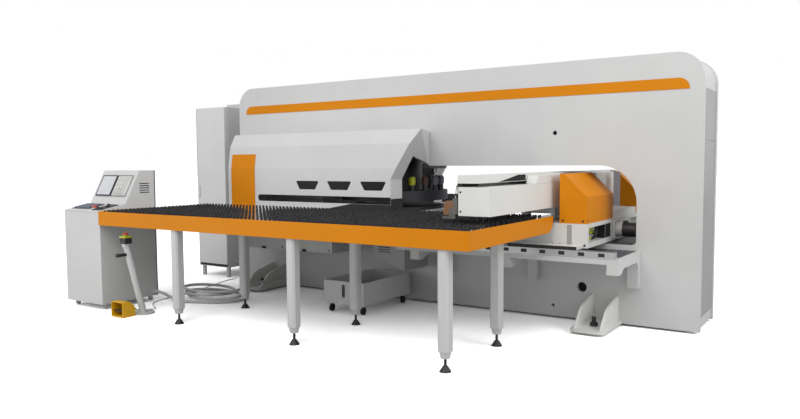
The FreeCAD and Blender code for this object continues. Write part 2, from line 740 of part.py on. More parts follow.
def make_brackets():
    """Four gusseted brackets with their levelling screws and pads."""
    gusset = [
        (frame_front, S.pad_height + S.bracket_foot, 0), (frame_front, S.bracket_rise, 0),
        (ahead(S.bracket_knee_reach), S.bracket_knee_rise, 150),
        (ahead(S.bracket_reach - 40), S.pad_height + S.bracket_foot, 0),
    ]
    brackets, screws = [], []
    for side, middle in (("left", S.frame_left + S.bracket_left_inset),
                         ("right", frame_right - S.bracket_right_inset)):
        cheeks = []
        for offset in (-0.5, 0.5):
            start = middle + S.gusset_spacing * offset - S.gusset_sheet / 2
            name = "gusset_%s_%d" % (side, offset * 2)
            cheeks.append(prism(name, "YZ", gusset, start, start + S.gusset_sheet))
        half = S.bracket_width / 2
        foot = prism("bracket_foot_" + side, "XY", [
            (middle - half, ahead(S.bracket_reach), 60), (middle + half, ahead(S.bracket_reach), 60),
            (middle + half, frame_front, 0), (middle - half, frame_front, 0),
        ], S.pad_height, S.pad_height + S.bracket_foot)
        bore = rod("jack_bore_" + side, middle, ahead(S.jack_reach), S.pad_height - 1,
                   S.jack_radius + 1, S.bracket_foot + 2)
        plain = fuse("bracket_plain_" + side, foot, *cheeks)
        front = cut("bracket_front_" + side, plain, bore)
        brackets += [front, mirrored("bracket_rear_" + side, front)]
        jack = fuse(
            "jack_front_" + side,
            rod("jack_pad_" + side, middle, ahead(S.jack_reach), 0, S.pad_radius, S.pad_height),
            rod("jack_screw_" + side, middle, ahead(S.jack_reach), S.pad_height,
                S.jack_radius, S.jack_height - S.pad_height),
            rod("jack_nut_" + side, middle, ahead(S.jack_reach), S.pad_height + S.bracket_foot,
                S.jack_radius * 1.8, S.jack_radius * 1.6),
        )
        screws += [jack, mirrored("jack_rear_" + side, jack)]
    keep("levelling_brackets", group("brackets", *brackets))
    return screws


# -------------------------------------------------------------- ledges and rails
def make_ledges():
    """The ledge on arched brackets that carries a guide rail, front and rear."""
    front, top = ahead(S.ledge_reach), S.ledge_top
    slab = block("ledge_slab", (S.ledge_left, ledge_right), (front, frame_front),
                 (top - S.ledge_slab, top))
    nose, drop = top - S.ledge_rib_nose, top - S.ledge_rib_drop
    heel = ahead(S.ledge_rib_arch / 2)
    profile = [
        (frame_front, top - S.ledge_slab, 0), (front, top - S.ledge_slab, 0), (front, nose, 0),
        (front + S.ledge_rib_arch / 2, nose, 40), (front + S.ledge_rib_arch, nose + 40, 60),
        (heel, nose + 40, S.ledge_rib_arch / 2), (heel, drop, 0), (frame_front, drop, 0),
    ]
    ribs = []
    pitch = (ledge_right - S.ledge_left - S.ledge_rib_width - S.ledge_rib_inset) / 2
    for index in range(3):
        end = ledge_right - pitch * index
        ribs.append(prism("ledge_rib_%d" % index, "YZ", profile, end - S.ledge_rib_width, end))
    ledge = fuse("ledge_body", slab, *ribs)
    keep("saddle_ledges", group("ledges", ledge, mirrored("ledge_body_rear", ledge)))
    rail_end = ledge_right - S.rail_end_inset
    bar = block("rail_bar", (S.ledge_left, rail_end), (front, front + S.rail_width),
                (top, top + S.rail_height))
    blocks = []
    side = front + S.rail_width
    count = int(S.rail_blocks.value)
    first = S.ledge_left + S.rail_block_inset
    pitch = (rail_end - S.rail_block_inset - S.rail_block_length - first) / (count - 1)
    for index in range(count):
        start = first + pitch * index
        blocks.append(block("rail_block_%d" % index, (start, start + S.rail_block_length),
                            (side, side + S.rail_block_width),
                            (top, top + S.rail_block_height)))
    rail = fuse("rail_front", bar, *blocks)
    keep("guide_rails", group("rails", rail, mirrored("rail_rear", rail)))


# ------------------------------------------------------------ saddle and its beam
def make_saddle():
    """The box that runs through the throat from ledge to ledge."""
    front = ahead(S.saddle_reach)
    rear = S.frame_middle + (S.frame_middle - front)
    core = block("saddle_core", (saddle_left, saddle_right), (front, rear),
                 (S.saddle_bottom, S.saddle_top))
    pocket_low = S.saddle_bottom + 40
    pockets = []
    for name, start in (("front", front + 30), ("rear", rear - 30 - S.saddle_pocket_length)):
        pockets.append(block("saddle_pocket_" + name,
                             (saddle_right - S.saddle_pocket_depth, saddle_right + 1),
                             (start, start + S.saddle_pocket_length),
                             (pocket_low, pocket_low + S.saddle_pocket_height)))
    seam = block("saddle_seam", (saddle_right - 170, saddle_right - 130),
                 (front - 1, front + 4), (S.saddle_bottom + 12, S.saddle_top - 12))
    box = cut("saddle_body", core, seam, *pockets)
    shoe = block("saddle_shoe_bar", (saddle_left + 40, saddle_right - 40),
                 (ahead(S.ledge_reach) + 5, front),
                 (S.saddle_bottom, S.saddle_bottom + 26))
    bridge = block("saddle_bridge", (drive_cover_left + 14, drive_cover_right - 4),
                   (front + S.drive_cover_length + 4, rear - S.drive_cover_rear_length - 4),
                   (S.saddle_top, S.saddle_top + S.bridge_height))
    keep("saddle", fuse("saddle_with_shoes", box, bridge, shoe,
                        mirrored("saddle_shoe_rear", shoe)))

    left, right, top = drive_cover_left, drive_cover_right, S.drive_cover_top
    section = [
        (left, S.saddle_top, 0), (right, S.saddle_top, 0), (right, S.drive_cover_shoulder, 12),
        (left + S.drive_cover_flat, top, 12), (left, top, 0),
    ]
    keep("drive_covers", group(
        "covers",
        prism("drive_cover", "XZ", section, front, front + S.drive_cover_length),
        prism("drive_cover_back", "XZ", section, rear - S.drive_cover_rear_length, rear),
    ))


def make_saddle_drive():
    """The drive motor and the cable chain at the saddle's right side."""
    face, middle = saddle_right, S.frame_middle - S.motor_offset
    height = (S.saddle_bottom + S.saddle_top) / 2
    keep("saddle_motor", fuse(
        "motor",
        block("motor_flange", (face, face + 20), (middle - 75, middle + 75),
              (height - 75, height + 75)),
        rod("motor_case", face + 20, middle, height, S.motor_radius, S.motor_length, "x"),
        block("motor_plug", (face + 60, face + 110), (middle - 20, middle + 20),
              (height + S.motor_radius - 12, height + S.motor_radius + 14)),
    ))
    near, low = S.frame_middle - S.chain_length / 2, S.saddle_top
    left = beam_cover_right + (drive_cover_left - beam_cover_right - S.chain_width) / 2
    right = left + S.chain_width
    links = [block("chain_core", (left + 6, right - 6), (near, near + S.chain_length),
                   (low, low + S.chain_height - 6))]
    for index in range(8):
        start = near + S.chain_pitch * index
        links.append(block("chain_link_%d" % index, (left, right),
                           (start, start + S.chain_link), (low, low + S.chain_height)))
    keep("cable_chain", fuse("chain", *links))


def make_beam():
    """The cross beam with its white covers and the cable tray on top."""
    front = ahead(S.beam_reach)
    rear = S.frame_middle * 2 - front
    right, inset = beam_right, S.beam_end_inset
    beam = block("beam_box", (beam_left, right), (front + inset, rear - inset),
                 (S.beam_bottom, S.beam_top))
    seats = []
    for name, near in (("front", ahead(S.saddle_reach - 60)), ("middle", S.frame_middle - 60),
                       ("rear", S.frame_middle * 2 - ahead(S.saddle_reach - 60) - 120)):
        seats.append(block("beam_seat_" + name, (beam_left, right), (near, near + 120),
                           (S.saddle_top, S.beam_bottom)))
    keep("cross_beam", fuse("beam_solid", beam, *seats))

    outer = block("beam_cover_outer", (right, beam_cover_right), (front, rear),
                  (S.beam_cover_bottom, S.beam_cover_top))
    inner = block("beam_cover_inner", (right - 1, beam_cover_right - S.beam_cover_sheet),
                  (front + S.beam_cover_sheet, rear - S.beam_cover_sheet),
                  (S.beam_cover_bottom - 1, S.beam_cover_top - S.beam_cover_sheet))
    keep("beam_cover", cut("beam_cover_shell", outer, inner))

    left, end = beam_left + S.tray_setback, S.tray_end_inset
    high, sheet = S.beam_top + S.tray_rise, S.tray_sheet
    low = high - S.tray_height
    tray = block("tray_outer", (left, left + S.tray_width), (front + end, rear - end),
                 (low, high))
    room = block("tray_room", (right, left + S.tray_width - sheet),
                 (front + end + sheet, rear - end - sheet), (low - 1, high - sheet))
    seat = block("tray_seat", (left - 1, right), (front + inset, rear - inset),
                 (low - 1, S.beam_top))
    nose = block("tray_nose", (left + sheet, right + 1), (front + end + sheet, front + inset + 1),
                 (low - 1, high - sheet))
    keep("cable_tray", cut("cable_tray_shell", tray, room, seat, nose))


def make_clamps():
    """The clamp carriage on the beam and its three hinged upper jaws."""
    start = ahead(S.beam_reach) + S.carriage_start
    back = beam_left - S.carriage_gap
    face = back - S.carriage_depth
    bar = block("carriage_bar", (face, back), (start, start + S.carriage_length),
                (S.carriage_bottom, S.carriage_top))
    parts = [bar]
    pin_x = face - S.clamp_reach * 0.35
    pin_z = S.clamp_bottom + S.clamp_jaw + S.clamp_mouth + 32
    for index in range(3):
        low = start + 40 + (S.carriage_length - 80 - S.clamp_width) * (index / 2)
        high = low + S.clamp_width
        parts.append(block("lower_jaw_%d" % index, (face - S.clamp_reach, face), (low, high),
                           (S.clamp_bottom, S.clamp_bottom + S.clamp_jaw)))
        parts.append(block("jaw_back_%d" % index, (face - 14, face), (low, high),
                           (S.clamp_bottom, S.carriage_top)))
        for side, (near, far) in enumerate(((low, low + S.clamp_cheek),
                                            (high - S.clamp_cheek, high))):
            parts.append(block("cheek_%d_%d" % (index, side), (pin_x - 16, face), (near, far),
                               (S.clamp_bottom, pin_z + 18)))
        parts.append(rod("clamp_pin_%d" % index, pin_x, low, pin_z,
                         S.clamp_pin_radius, S.clamp_width, "y"))
        make_jaw(index, face, low, high, pin_x, pin_z)
    keep("clamp_carriage", fuse("carriage_body", *parts))


def make_jaw(index, face, low, high, pin_x, pin_z):
    """One upper jaw, an arm on the pin between the cheeks."""
    inner, outer = low + S.clamp_cheek + 0.5, high - S.clamp_cheek - 0.5
    foot = S.clamp_bottom + S.clamp_jaw + S.clamp_mouth
    arm = prism("jaw_arm_%d" % index, "XZ", [
        (face - S.clamp_reach, foot, 0), (face - S.clamp_reach + 26, foot, 0),
        (pin_x + 18, pin_z - 18, 0), (pin_x + 18, pin_z + 12, 0), (pin_x + 5, S.clamp_top, 8),
        (face - S.clamp_reach + 12, S.clamp_top, 8), (face - S.clamp_reach, foot + 24, 0),
    ], inner, outer)
    bore = rod("jaw_bore_%d" % index, pin_x, inner - 1, pin_z,
               S.clamp_pin_radius + S.slide_fit, outer - inner + 2, "y")
    keep("clamp_jaw_%d" % (index + 1), cut("jaw_%d" % index, arm, bore))


# ------------------------------------------------------------------------ turret
def on_circle(index, count):
    """A place on the station circle."""
    angle = 2 * math.pi * index / count
    along = S.turret_along + S.station_circle * math.cos(angle)
    return along, S.frame_middle + S.station_circle * math.sin(angle)


def make_turret():
    """Both discs, their dies and punches, the base, the hub and the ram."""
    count = int(S.station_count.value)
    stations = [on_circle(index, count) for index in range(count)]
    axis_x, axis_y = S.turret_along, S.frame_middle
    lower_low = S.die_level - S.turret_disc
    upper_low = S.die_level + S.turret_mouth
    upper_top = upper_low + S.turret_disc
    disc = rod("lower_disc", axis_x, axis_y, lower_low, S.turret_radius, S.turret_disc)
    bores = [rod("die_bore_%d" % i, x, y, lower_low - 1, S.die_bore, S.turret_disc + 2)
             for i, (x, y) in enumerate(stations)]
    keep("lower_turret", cut("lower_turret_disc", disc, *bores))
    keep("upper_turret", rod("upper_disc", axis_x, axis_y, upper_low,
                             S.turret_radius, S.turret_disc))
    keep("turret_base", rod("turret_base_drum", axis_x, axis_y, S.window_bottom, S.base_radius,
                            lower_low - S.turret_fit - S.window_bottom))
    hub_low = upper_top + S.turret_fit
    keep("turret_hub", rod("turret_neck", axis_x, axis_y, hub_low, S.base_radius,
                           S.window_head_top - hub_low))
    punches = []
    spring_low = upper_top + S.punch_foot
    spring_top = spring_low + S.punch_spring
    for index, (x, y) in enumerate(stations):
        punches.append(fuse(
            "punch_%d" % index,
            rod("punch_body_%d" % index, x, y, upper_top, S.punch_radius, S.punch_foot),
            rod("punch_spring_%d" % index, x, y, spring_low, S.punch_spring_radius,
                S.punch_spring),
            rod("punch_head_%d" % index, x, y, spring_top, S.punch_radius, S.punch_head),
        ))
    keep("punches", group("punch_set", *punches))
    make_ram(stations[0][0], spring_top + S.punch_head)


def ceiling(along):
    """Height of the throat's slope over a place along X."""
    fall = (S.window_head_top - S.window_top) / S.window_head_slope
    return S.window_head_top - (along - S.window_head_right) * fall


def make_ram(along, punch_top):
    """The ram housing under the ceiling and its striker."""
    striker_low = punch_top + S.striker_gap
    housing_low = striker_low + S.striker_nose
    left, right = along - S.head_width / 2, along + S.head_width / 2
    near = S.frame_middle - S.head_depth / 2
    housing = prism("ram_block", "XZ", [
        (left, housing_low, 0), (right, housing_low, 0),
        (right, ceiling(right), 0), (left, ceiling(left), 0),
    ], near, near + S.head_depth)
    bore = rod("ram_bore", along, S.frame_middle, housing_low - 1,
               S.striker_radius + S.slide_fit, S.striker_length - S.striker_nose + 5)
    keep("ram_housing", cut("ram_body", housing, bore))
    keep("striker", rod("striker_pin", along, S.frame_middle, striker_low,
                        S.striker_radius, S.striker_length))


# ------------------------------------------------------------------------- hoods
def hood_section(inset):
    """The hood's side view, set in by a sheet."""
    front, top = ahead(S.hood_reach) + inset, S.hood_top - inset
    return [
        (frame_front, S.deck_top - inset, 0), (front, S.deck_top - inset, 0),
        (front, S.hood_fold_low, 0), (ahead(S.hood_fold_mid_reach) + inset, S.hood_fold_mid, 0),
        (ahead(S.hood_top_reach) + inset, top, 0), (frame_front, top, 0),
    ]


def hood_face(right, inset):
    """The hood's front view: its right side leans outwards over a fold."""
    low, high, fold = S.deck_top - 20, S.hood_top + 20, S.hood_side_fold
    reach = S.hood_side_run * (high - fold) / (S.hood_top - fold)
    left, side = S.hood_left + inset, right - inset
    return [(left, low, 0), (side, low, 0), (side, fold, 0), (side + reach, high, 0),
            (left, high, 0)]


def hood_corner(name, right, inset):
    """What the plan takes off the leaning side towards the plate."""
    side = right - inset
    start = (side + S.hood_side_run, ahead(S.hood_top_reach), 0)
    return prism(name, "XY", [
        start, (side + S.hood_side_back, frame_front, 0),
        (side + S.hood_side_run * 2, frame_front, 0),
        (side + S.hood_side_run * 2, ahead(S.hood_top_reach), 0),
    ], S.hood_side_fold - 10, S.hood_top + 20)


def hood_body(name, right, inset):
    """The hood's full body, or the room inside it when set in by a sheet."""
    span = (S.hood_left - 10, right + S.hood_side_run + 60)
    solid = common(
        name + "_raw",
        prism(name + "_section", "YZ", hood_section(inset), *span),
        prism(name + "_face", "XZ", hood_face(right, inset), ahead(S.hood_reach) - 5,
              frame_front),
    )
    return cut(name, solid, hood_corner(name + "_corner", right, inset))


def make_hood(side, right, windows):
    """One folded hood with its sheet slot and windows, and the panes behind them."""
    name, sheet, front = "hood_" + side, S.hood_sheet, ahead(S.hood_reach)
    slot = prism(name + "_slot", "XZ", [
        (S.hood_slot_left, S.hood_sill_top, S.hood_slot_round),
        (right + 1, S.hood_sill_top, 0), (right + 1, S.hood_bottom, 0),
        (S.hood_slot_left, S.hood_bottom, S.hood_slot_round),
    ], front - 1, front + sheet + 1)
    flange = front + S.hood_flange
    opening = prism(name + "_side_opening", "YZ", [
        (frame_front + 1, S.deck_top - 1, 0), (flange, S.deck_top - 1, 0),
        (flange, S.hood_gusset_high, 0), (frame_front + 1, S.hood_gusset_low, 0),
    ], right - sheet - 1, right + S.hood_side_run)
    openings, panes = [], []
    low, high, taper = S.hood_window_bottom, S.hood_window_top, S.hood_window_taper
    for index in range(windows):
        start = S.hood_window_first + S.hood_window_pitch * index
        end = start + S.hood_window_width
        openings.append(prism("%s_window_%d" % (name, index), "XZ", [
            (start + taper, low, S.hood_window_round), (end - taper, low, S.hood_window_round),
            (end, high, S.hood_window_round), (start, high, S.hood_window_round),
        ], front - 1, front + sheet + 1))
        panes.append(block("%s_pane_%d" % (name, index), (start - 12, end + 12),
                           (front + sheet, front + sheet + S.pane_sheet),
                           (low - 12, high + 12)))
    shell = cut(name + "_shell", hood_body(name + "_outer", right, 0 * sheet),
                hood_body(name + "_inner", right, sheet), slot, opening, *openings)
    return shell, panes


def make_hoods():
    """The hoods over the turret; the rear one ends further left."""
    front, panes = make_hood("front", S.hood_right, 3)
    keep("hood_front", front)
    rear, rear_panes = make_hood("back", S.hood_rear_right, 1)
    keep("hood_rear", mirrored("hood_shell_rear", rear))
    panes += [mirrored(pane.Name + "_rear", pane) for pane in rear_panes]
    keep("hood_windows", group("hood_panes", *panes))
    make_hood_strip(ahead(S.hood_reach))


def make_hood_strip(front):
    """The coloured panel that runs up the hood and over its lower fold."""
    out = S.accent_sheet
    share = (S.accent_top - S.hood_fold_low) / (S.hood_fold_mid - S.hood_fold_low)
    end = front + (S.hood_reach - S.hood_fold_mid_reach) * share
    keep("hood_accent", prism("hood_strip", "YZ", [
        (front, S.deck_top, 0), (front, S.hood_fold_low, 0), (end, S.accent_top, 0),
        (end - out, S.accent_top, 0), (front - out, S.hood_fold_low, 0),
        (front - out, S.deck_top, 0),
    ], S.accent_left, S.accent_left + S.accent_width))


# ------------------------------------------------------------------------ tables
def make_tables(jacks):
    """The steel decks on legs, their fascias, feet and bristle rows."""
    gap = S.fascia_sheet + S.fascia_gap
    left, right = S.table_left + gap, S.table_right - gap
    front = ahead(S.table_reach) + gap
    plate = ahead(S.deck_gap)
    channel = ahead(S.deck_channel_reach)
    outline = [
        (left, front, 0), (right, front, 0), (right, channel, 0),
        (S.deck_channel_left, channel, 0), (S.deck_channel_left, plate, 0), (left, plate, 0),
    ]
    deck = prism("deck_sheet_plate", "XY", outline, S.deck_top - S.deck_sheet, S.deck_top)
    low = S.deck_top - S.deck_sheet - S.skirt_height
    high = S.deck_top - S.deck_sheet
    width = S.skirt_width
    beams = [
        block("deck_beam_front", (left, right), (front, front + width), (low, high)),
        block("deck_beam_inner", (left, right), (channel - width, channel), (low, high)),
        block("deck_beam_left", (left, left + width), (front, plate), (low, high)),
        block("deck_beam_right", (right - width, right), (front, channel), (low, high)),
        block("deck_beam_channel", (S.deck_channel_left - width, S.deck_channel_left),
              (channel - width, plate), (low, high)),
    ]
    legs, feet = [], []
    outer_row = S.table_reach - S.leg_row_inset
    for row, reach in enumerate((outer_row, outer_row - S.leg_row_pitch)):
        for index in range(3):
            along = S.leg_first + S.leg_pitch * index
            legs.append(make_leg("leg_%d_%d" % (row, index), along, ahead(reach), high))
            feet.append(make_foot("foot_%d_%d" % (row, index), along, ahead(reach)))
    circle = rod("turret_room", S.turret_along, S.frame_middle, low - 1,
                 S.turret_radius + S.turret_clearance, S.skirt_height + S.deck_sheet + 2)
    table = cut("table_solid", fuse("table_uncut", deck, *beams, *legs), circle)
    keep("table_front", table)
    keep("table_rear", mirrored("table_solid_rear", table))
    feet += [mirrored(foot.Name + "_rear", foot) for foot in list(feet)]
    keep("levelling_feet", group("all_feet", *jacks, *feet))
    make_fascia()
    make_brushes(left, right, front, channel)
    make_centre_table()


def make_leg(name, along, across, top):
    """A square leg with chamfered corners and a tapered lower end."""
    half, chamfer = S.leg_width / 2, S.leg_chamfer
    low, join = S.leg_bottom, S.leg_bottom + S.leg_taper
    octagon = [
        (along - half, across - half + chamfer, 0), (along - half + chamfer, across - half, 0),
        (along + half - chamfer, across - half, 0), (along + half, across - half + chamfer, 0),
        (along + half, across + half - chamfer, 0), (along + half - chamfer, across + half, 0),
        (along - half + chamfer, across + half, 0), (along - half, across + half - chamfer, 0),
    ]
    shaft = prism(name + "_shaft", "XY", octagon, join, top)
    end = cone(name + "_end", along, across, low, half - S.leg_taper_inset, half, S.leg_taper)
    return fuse(name, shaft, end)


def make_foot(name, along, across):
    """A levelling foot: a bell pad, a screw and its nut."""
    return fuse(
        name,
        cone(name + "_bell", along, across, 0, S.foot_radius, S.foot_radius * 0.4,
             S.foot_height),
        rod(name + "_screw", along, across, S.foot_height, S.foot_screw,
            S.leg_bottom - S.foot_height),
    )


def make_fascia():
    """The coloured edge: a front strip and two returns."""
    left, right = S.table_left, S.table_right
    front, sheet = ahead(S.table_reach), S.fascia_sheet
    low, high = S.table_top - S.fascia_height, S.table_top
    strip = block("fascia_strip", (left, right), (front, front + sheet), (low, high))
    end = ahead(S.fascia_back_reach)
    right_return = prism("fascia_right", "YZ", [
        (front, low, 0), (end, low, S.fascia_round), (end, high, 0), (front, high, 0),
    ], right - sheet, right)
    left_return = block("fascia_left", (left, left + sheet), (front, ahead(S.hood_reach) - 8),
                        (low, high))
    fascia = fuse("fascia", strip, right_return, left_return)
    keep("table_fascias", group("fascias", fascia, mirrored("fascia_back", fascia)))


def make_brushes(left, right, front, channel):
    """Rows of bristles that carry the sheet."""
    rows = []
    edge = S.brush_edge
    for index in range(int(S.brush_rows.value)):
        near = front + edge + S.brush_pitch * index
        beyond = near.value + S.brush_width.value + 6 > ahead(S.hood_reach).value
        if near.value + S.brush_width.value > channel.value:
            break
        start = S.hood_right + 12 if beyond else left + edge
        rows.append(block("brush_row_%d" % index, (start, right - edge),
                          (near, near + S.brush_width),
                          (S.deck_top, S.deck_top + S.brush_height)))
    rows += [mirrored(row.Name + "_rear", row) for row in list(rows)]
    keep("brush_rows", group("bristles", *rows))


def make_centre_table():
    """The small deck in the throat beside the turret."""
    near, far = frame_front + 4, frame_rear - 4
    left = S.turret_along + S.turret_radius * 0.8
    top = block("centre_deck", (left, S.deck_channel_left), (near, far),
                (S.deck_top - S.deck_sheet, S.deck_top))
    web = block("centre_web", (S.deck_channel_left - 40, S.deck_channel_left - 12),
                (near + 20, far - 20), (S.window_bottom, S.deck_top - S.deck_sheet))
    circle = rod("centre_room", S.turret_along, S.frame_middle, S.deck_top - S.deck_sheet - 1,
                 S.turret_radius + S.turret_clearance, S.deck_sheet + 2)
    keep("centre_table", cut("centre_solid", fuse("centre_uncut", top, web), circle))


# --------------------------------------------------- covers and scrap collection
def make_lower_cover():
    """The sheet box under the deck that covers the turret drive."""
    x = (S.lower_cover_left, S.lower_cover_right)
    front = ahead(S.lower_cover_reach)
    z = (S.lower_cover_bottom, S.lower_cover_top)
    sheet = S.chute_sheet
    outer = block("lower_cover_outer", x, (front, frame_front), z)
    inner = block("lower_cover_inner", (x[0] + sheet, x[1] - sheet),
                  (front + sheet, frame_front + 1), (z[0] + sheet, z[1] - sheet))
    keep("lower_cover", cut("lower_cover_shell", outer, inner))


def make_scrap():
    """The slug chute under the turret and the cart below it."""
    left, right = S.chute_left, S.chute_left + S.chute_width
    front, sheet = ahead(S.chute_reach), S.chute_sheet
    low_left, low_right = S.chute_bottom + S.chute_fall, S.chute_bottom
    outer = prism("chute_outer", "XZ", [
        (left, low_left, 0), (right, low_right, 0), (right, S.chute_top, 0),
        (left, S.chute_top, 0),
    ], front, frame_front)
    inner = prism("chute_inner", "XZ", [
        (left + sheet, low_left - S.chute_fall, 0), (right - sheet, low_right - S.chute_fall, 0),
        (right - sheet, S.chute_top + 1, 0), (left + sheet, S.chute_top + 1, 0),
    ], front + sheet, frame_front - sheet)
    vents = [block("chute_vent_%d" % i, (left + 60, left + 200), (front - 1, front + sheet + 1),
                   (S.chute_top - 60 - 22 * i, S.chute_top - 50 - 22 * i)) for i in range(4)]
    keep("scrap_chute", cut("chute_shell", outer, inner, *vents))

    x0, x1 = S.cart_left, S.cart_left + S.cart_width
    y0 = ahead(S.cart_front_reach)
    y1 = y0 + S.cart_length
    wall = S.cart_sheet
    tub = block("cart_tub", (x0, x1), (y0, y1), (S.cart_bottom, S.cart_top))
    hollow = block("cart_hollow", (x0 + wall, x1 - wall), (y0 + wall, y1 - wall),
                   (S.cart_bottom + wall, S.cart_top + 1))
    handle = prism("cart_handle", "XZ", [
        (x0 + S.cart_width * 0.46, S.cart_bottom + 60, 14),
        (x0 + S.cart_width * 0.54, S.cart_bottom + 60, 14),
        (x0 + S.cart_width * 0.54, S.cart_top - 30, 14),
        (x0 + S.cart_width * 0.46, S.cart_top - 30, 14),
    ], y0 - 1, y0 + wall + 1)
    body = cut("cart_body", tub, hollow, handle)
    keep("scrap_cart", body)
    casters = []
    radius, width = S.cart_wheel_radius, S.caster_width
    for i, x in enumerate((x0 + 40, x1 - 40 - width)):
        for j, y in enumerate((y0 + 60, y1 - 60)):
            name = "cart_caster_%d%d" % (i, j)
            casters.append(fuse(
                name,
                rod(name + "_wheel", x, y, radius, radius, width, "x"),
                block(name + "_fork", (x - 6, x + width + 6), (y - 12, y + 12),
                      (radius - 6, S.cart_bottom)),
            ))
    keep("cart_casters", group("cart_caster_set", *casters))


# ------------------------------------------------------------ electrical cabinet
def make_cabinet():
    """The hollow cabinet on round feet and its front door."""
    x0, x1 = S.cabinet_left, S.cabinet_left + S.cabinet_width
    y0 = S.cabinet_front + S.cabinet_door_sheet + S.cabinet_door_gap
    y1 = S.cabinet_front + S.cabinet_depth
    low, high, wall = S.cabinet_bottom, S.cabinet_top, S.cabinet_wall
    box = block("cabinet_box", (x0, x1), (y0, y1), (low, high))
    duct = block("cabinet_duct", (x1, S.frame_left + S.frame_rim - S.end_cover_sheet),
                 (S.frame_middle + 60, S.frame_middle + 160), (low + 30, low + 130))
    roof = block("cabinet_roof_box", (x0 + 4, x1 - 4), (S.cabinet_front + S.cabinet_roof_setback,
                                                       y1 - 4), (high, high + S.cabinet_roof))
    feet = []
    inset = S.cabinet_foot_radius + 14
    for i, x in enumerate((x0 + inset, x1 - inset)):
        for j, y in enumerate((y0 + inset, y1 - inset)):
            feet.append(rod("cabinet_foot_%d%d" % (i, j), x, y, 0, S.cabinet_foot_radius, low))
    gland = rod("cabinet_gland", x1, S.cabinet_gland_across, S.cabinet_gland_height,
                S.thin_gland, S.gland_length, "x")
    room = block("cabinet_room", (x0 + wall, x1 - wall), (y0 - 1, y1 - wall),
                 (low + wall, high - wall))
    keep("cabinet_body", cut("cabinet_shell", fuse("cabinet_solid", box, roof, gland, duct, *feet),
                             room))
    rack = block("cabinet_rack", (x0 + 30, x1 - 30), (y1 - wall - 22, y1 - wall),
                 (low + 80, high - 80))
    drives = [block("drive_unit_%d" % i, (x0 + 60, x1 - 60), (y1 - wall - 202, y1 - wall - 22),
                    (low + 180 + 420 * i, low + 500 + 420 * i)) for i in range(4)]
    keep("cabinet_drives", fuse("drive_rack", rack, *drives))
    leaf = block("cabinet_leaf", (x0 + S.door_reveal, x1 - 2),
                 (S.cabinet_front, S.cabinet_front + S.cabinet_door_sheet), (low + 40, high - 4))
    knob = block("cabinet_latch", (x0 + 40, x0 + 64),
                 (S.cabinet_front - 14, S.cabinet_front), (low + 860, low + 1000))
    keep("cabinet_door", fuse("door", leaf, knob))


# --------------------------------------------------------------- control console
def along_face(foot, head, low, high, lift):
    """A plate section on a sloping face: from low to high, raised by lift."""
    run, rise = head[0] - foot[0], head[1] - foot[1]
    near = (foot[0] + run * low, foot[1] + rise * low)
    far = (foot[0] + run * high, foot[1] + rise * high)
    return [
        (near[0], near[1], 0), (far[0], far[1], 0),
        (far[0] - rise * lift, far[1] + run * lift, 0),
        (near[0] - rise * lift, near[1] + run * lift, 0),
    ]


def console_section(inset):
    """The console's side view, set in by a sheet."""
    front = S.console_front + inset
    rear = S.console_front + S.console_depth - S.console_rear_sheet
    foot = S.console_front + S.console_screen_front + inset
    head = S.console_front + S.console_screen_back + inset
    low, desk = S.console_bottom + inset, S.console_desk - inset
    bend = desk + S.console_desk_rise
    return [
        (front, low, 0), (rear, low, 0), (rear, S.console_top - inset, 0),
        (head, S.console_top - inset, 0), (foot, bend, 0), (front, desk, 0),
    ]


def make_console():
    """The console housing, its rear cover, screen, keys and swivel casters."""
    x0, x1 = S.console_left, S.console_left + S.console_width
    wall = S.console_wall
    rear = S.console_front + S.console_depth
    outer = prism("console_outer", "YZ", console_section(0 * wall), x0, x1)
    inner = prism("console_inner", "YZ", console_section(wall), x0 + wall, x1 - wall)
    slots = []
    for index in range(5):
        low = S.console_vent_bottom + 22 * index
        slots.append(block("console_vent_%d" % index, (x1 - wall - 1, x1 + 1),
                           (rear - 185, rear - 70), (low, low + 9)))
    gland = rod("console_gland", x1, S.conduit_across, S.conduit_height,
                S.thick_gland, S.gland_length, "x")
    shell = cut("console_shell", outer, inner, *slots)
    keep("console_rear_cover", block("console_back", (x0, x1), (rear - S.console_rear_sheet,
                                                               rear),
                                     (S.console_bottom, S.console_top)))
    front = S.console_front
    desk = ((front, S.console_desk),
            (front + S.console_screen_front, S.console_desk + S.console_desk_rise))
    tower = (desk[1], (front + S.console_screen_back, S.console_top))
    middle = x0 + S.console_width / 2
    margin = S.console_panel_margin
    keep("console_screen", prism("screen_plate", "YZ",
                                 along_face(*tower, 0.22, 0.84, 0.03),
                                 x0 + margin, middle - 6))
    keys = [prism("key_plate", "YZ", along_face(*tower, 0.22, 0.84, 0.02),
                  middle + 6, x1 - margin)]
    for row in range(4):
        for column in range(4):
            low = 0.28 + 0.135 * row
            left = middle + 24 + 44 * column
            keys.append(prism("key_%d_%d" % (row, column), "YZ",
                              along_face(*tower, low, low + 0.09, 0.035), left, left + 32))
    keep("console_keypad", fuse("keypad", *keys))
    board_end = x0 + margin + S.console_board_width
    board = [prism("board_plate", "YZ", along_face(*desk, 0.2, 0.82, 0.03),
                   x0 + margin, board_end)]
    for row in range(4):
        low = 0.26 + 0.135 * row
        board.append(prism("board_row_%d" % row, "YZ", along_face(*desk, low, low + 0.09, 0.055),
                           x0 + margin + 16, board_end - 16))
    keep("console_keyboard", fuse("keyboard", *board))
    collar = make_stop_button(
        "console", x1 - S.console_stop_inset, front + S.console_stop_reach,
        S.console_desk + S.console_desk_rise * S.console_stop_reach / S.console_screen_front)
    keep("console_body", fuse("console_housing", shell, gland, collar))
    make_casters(x0, x1, rear)


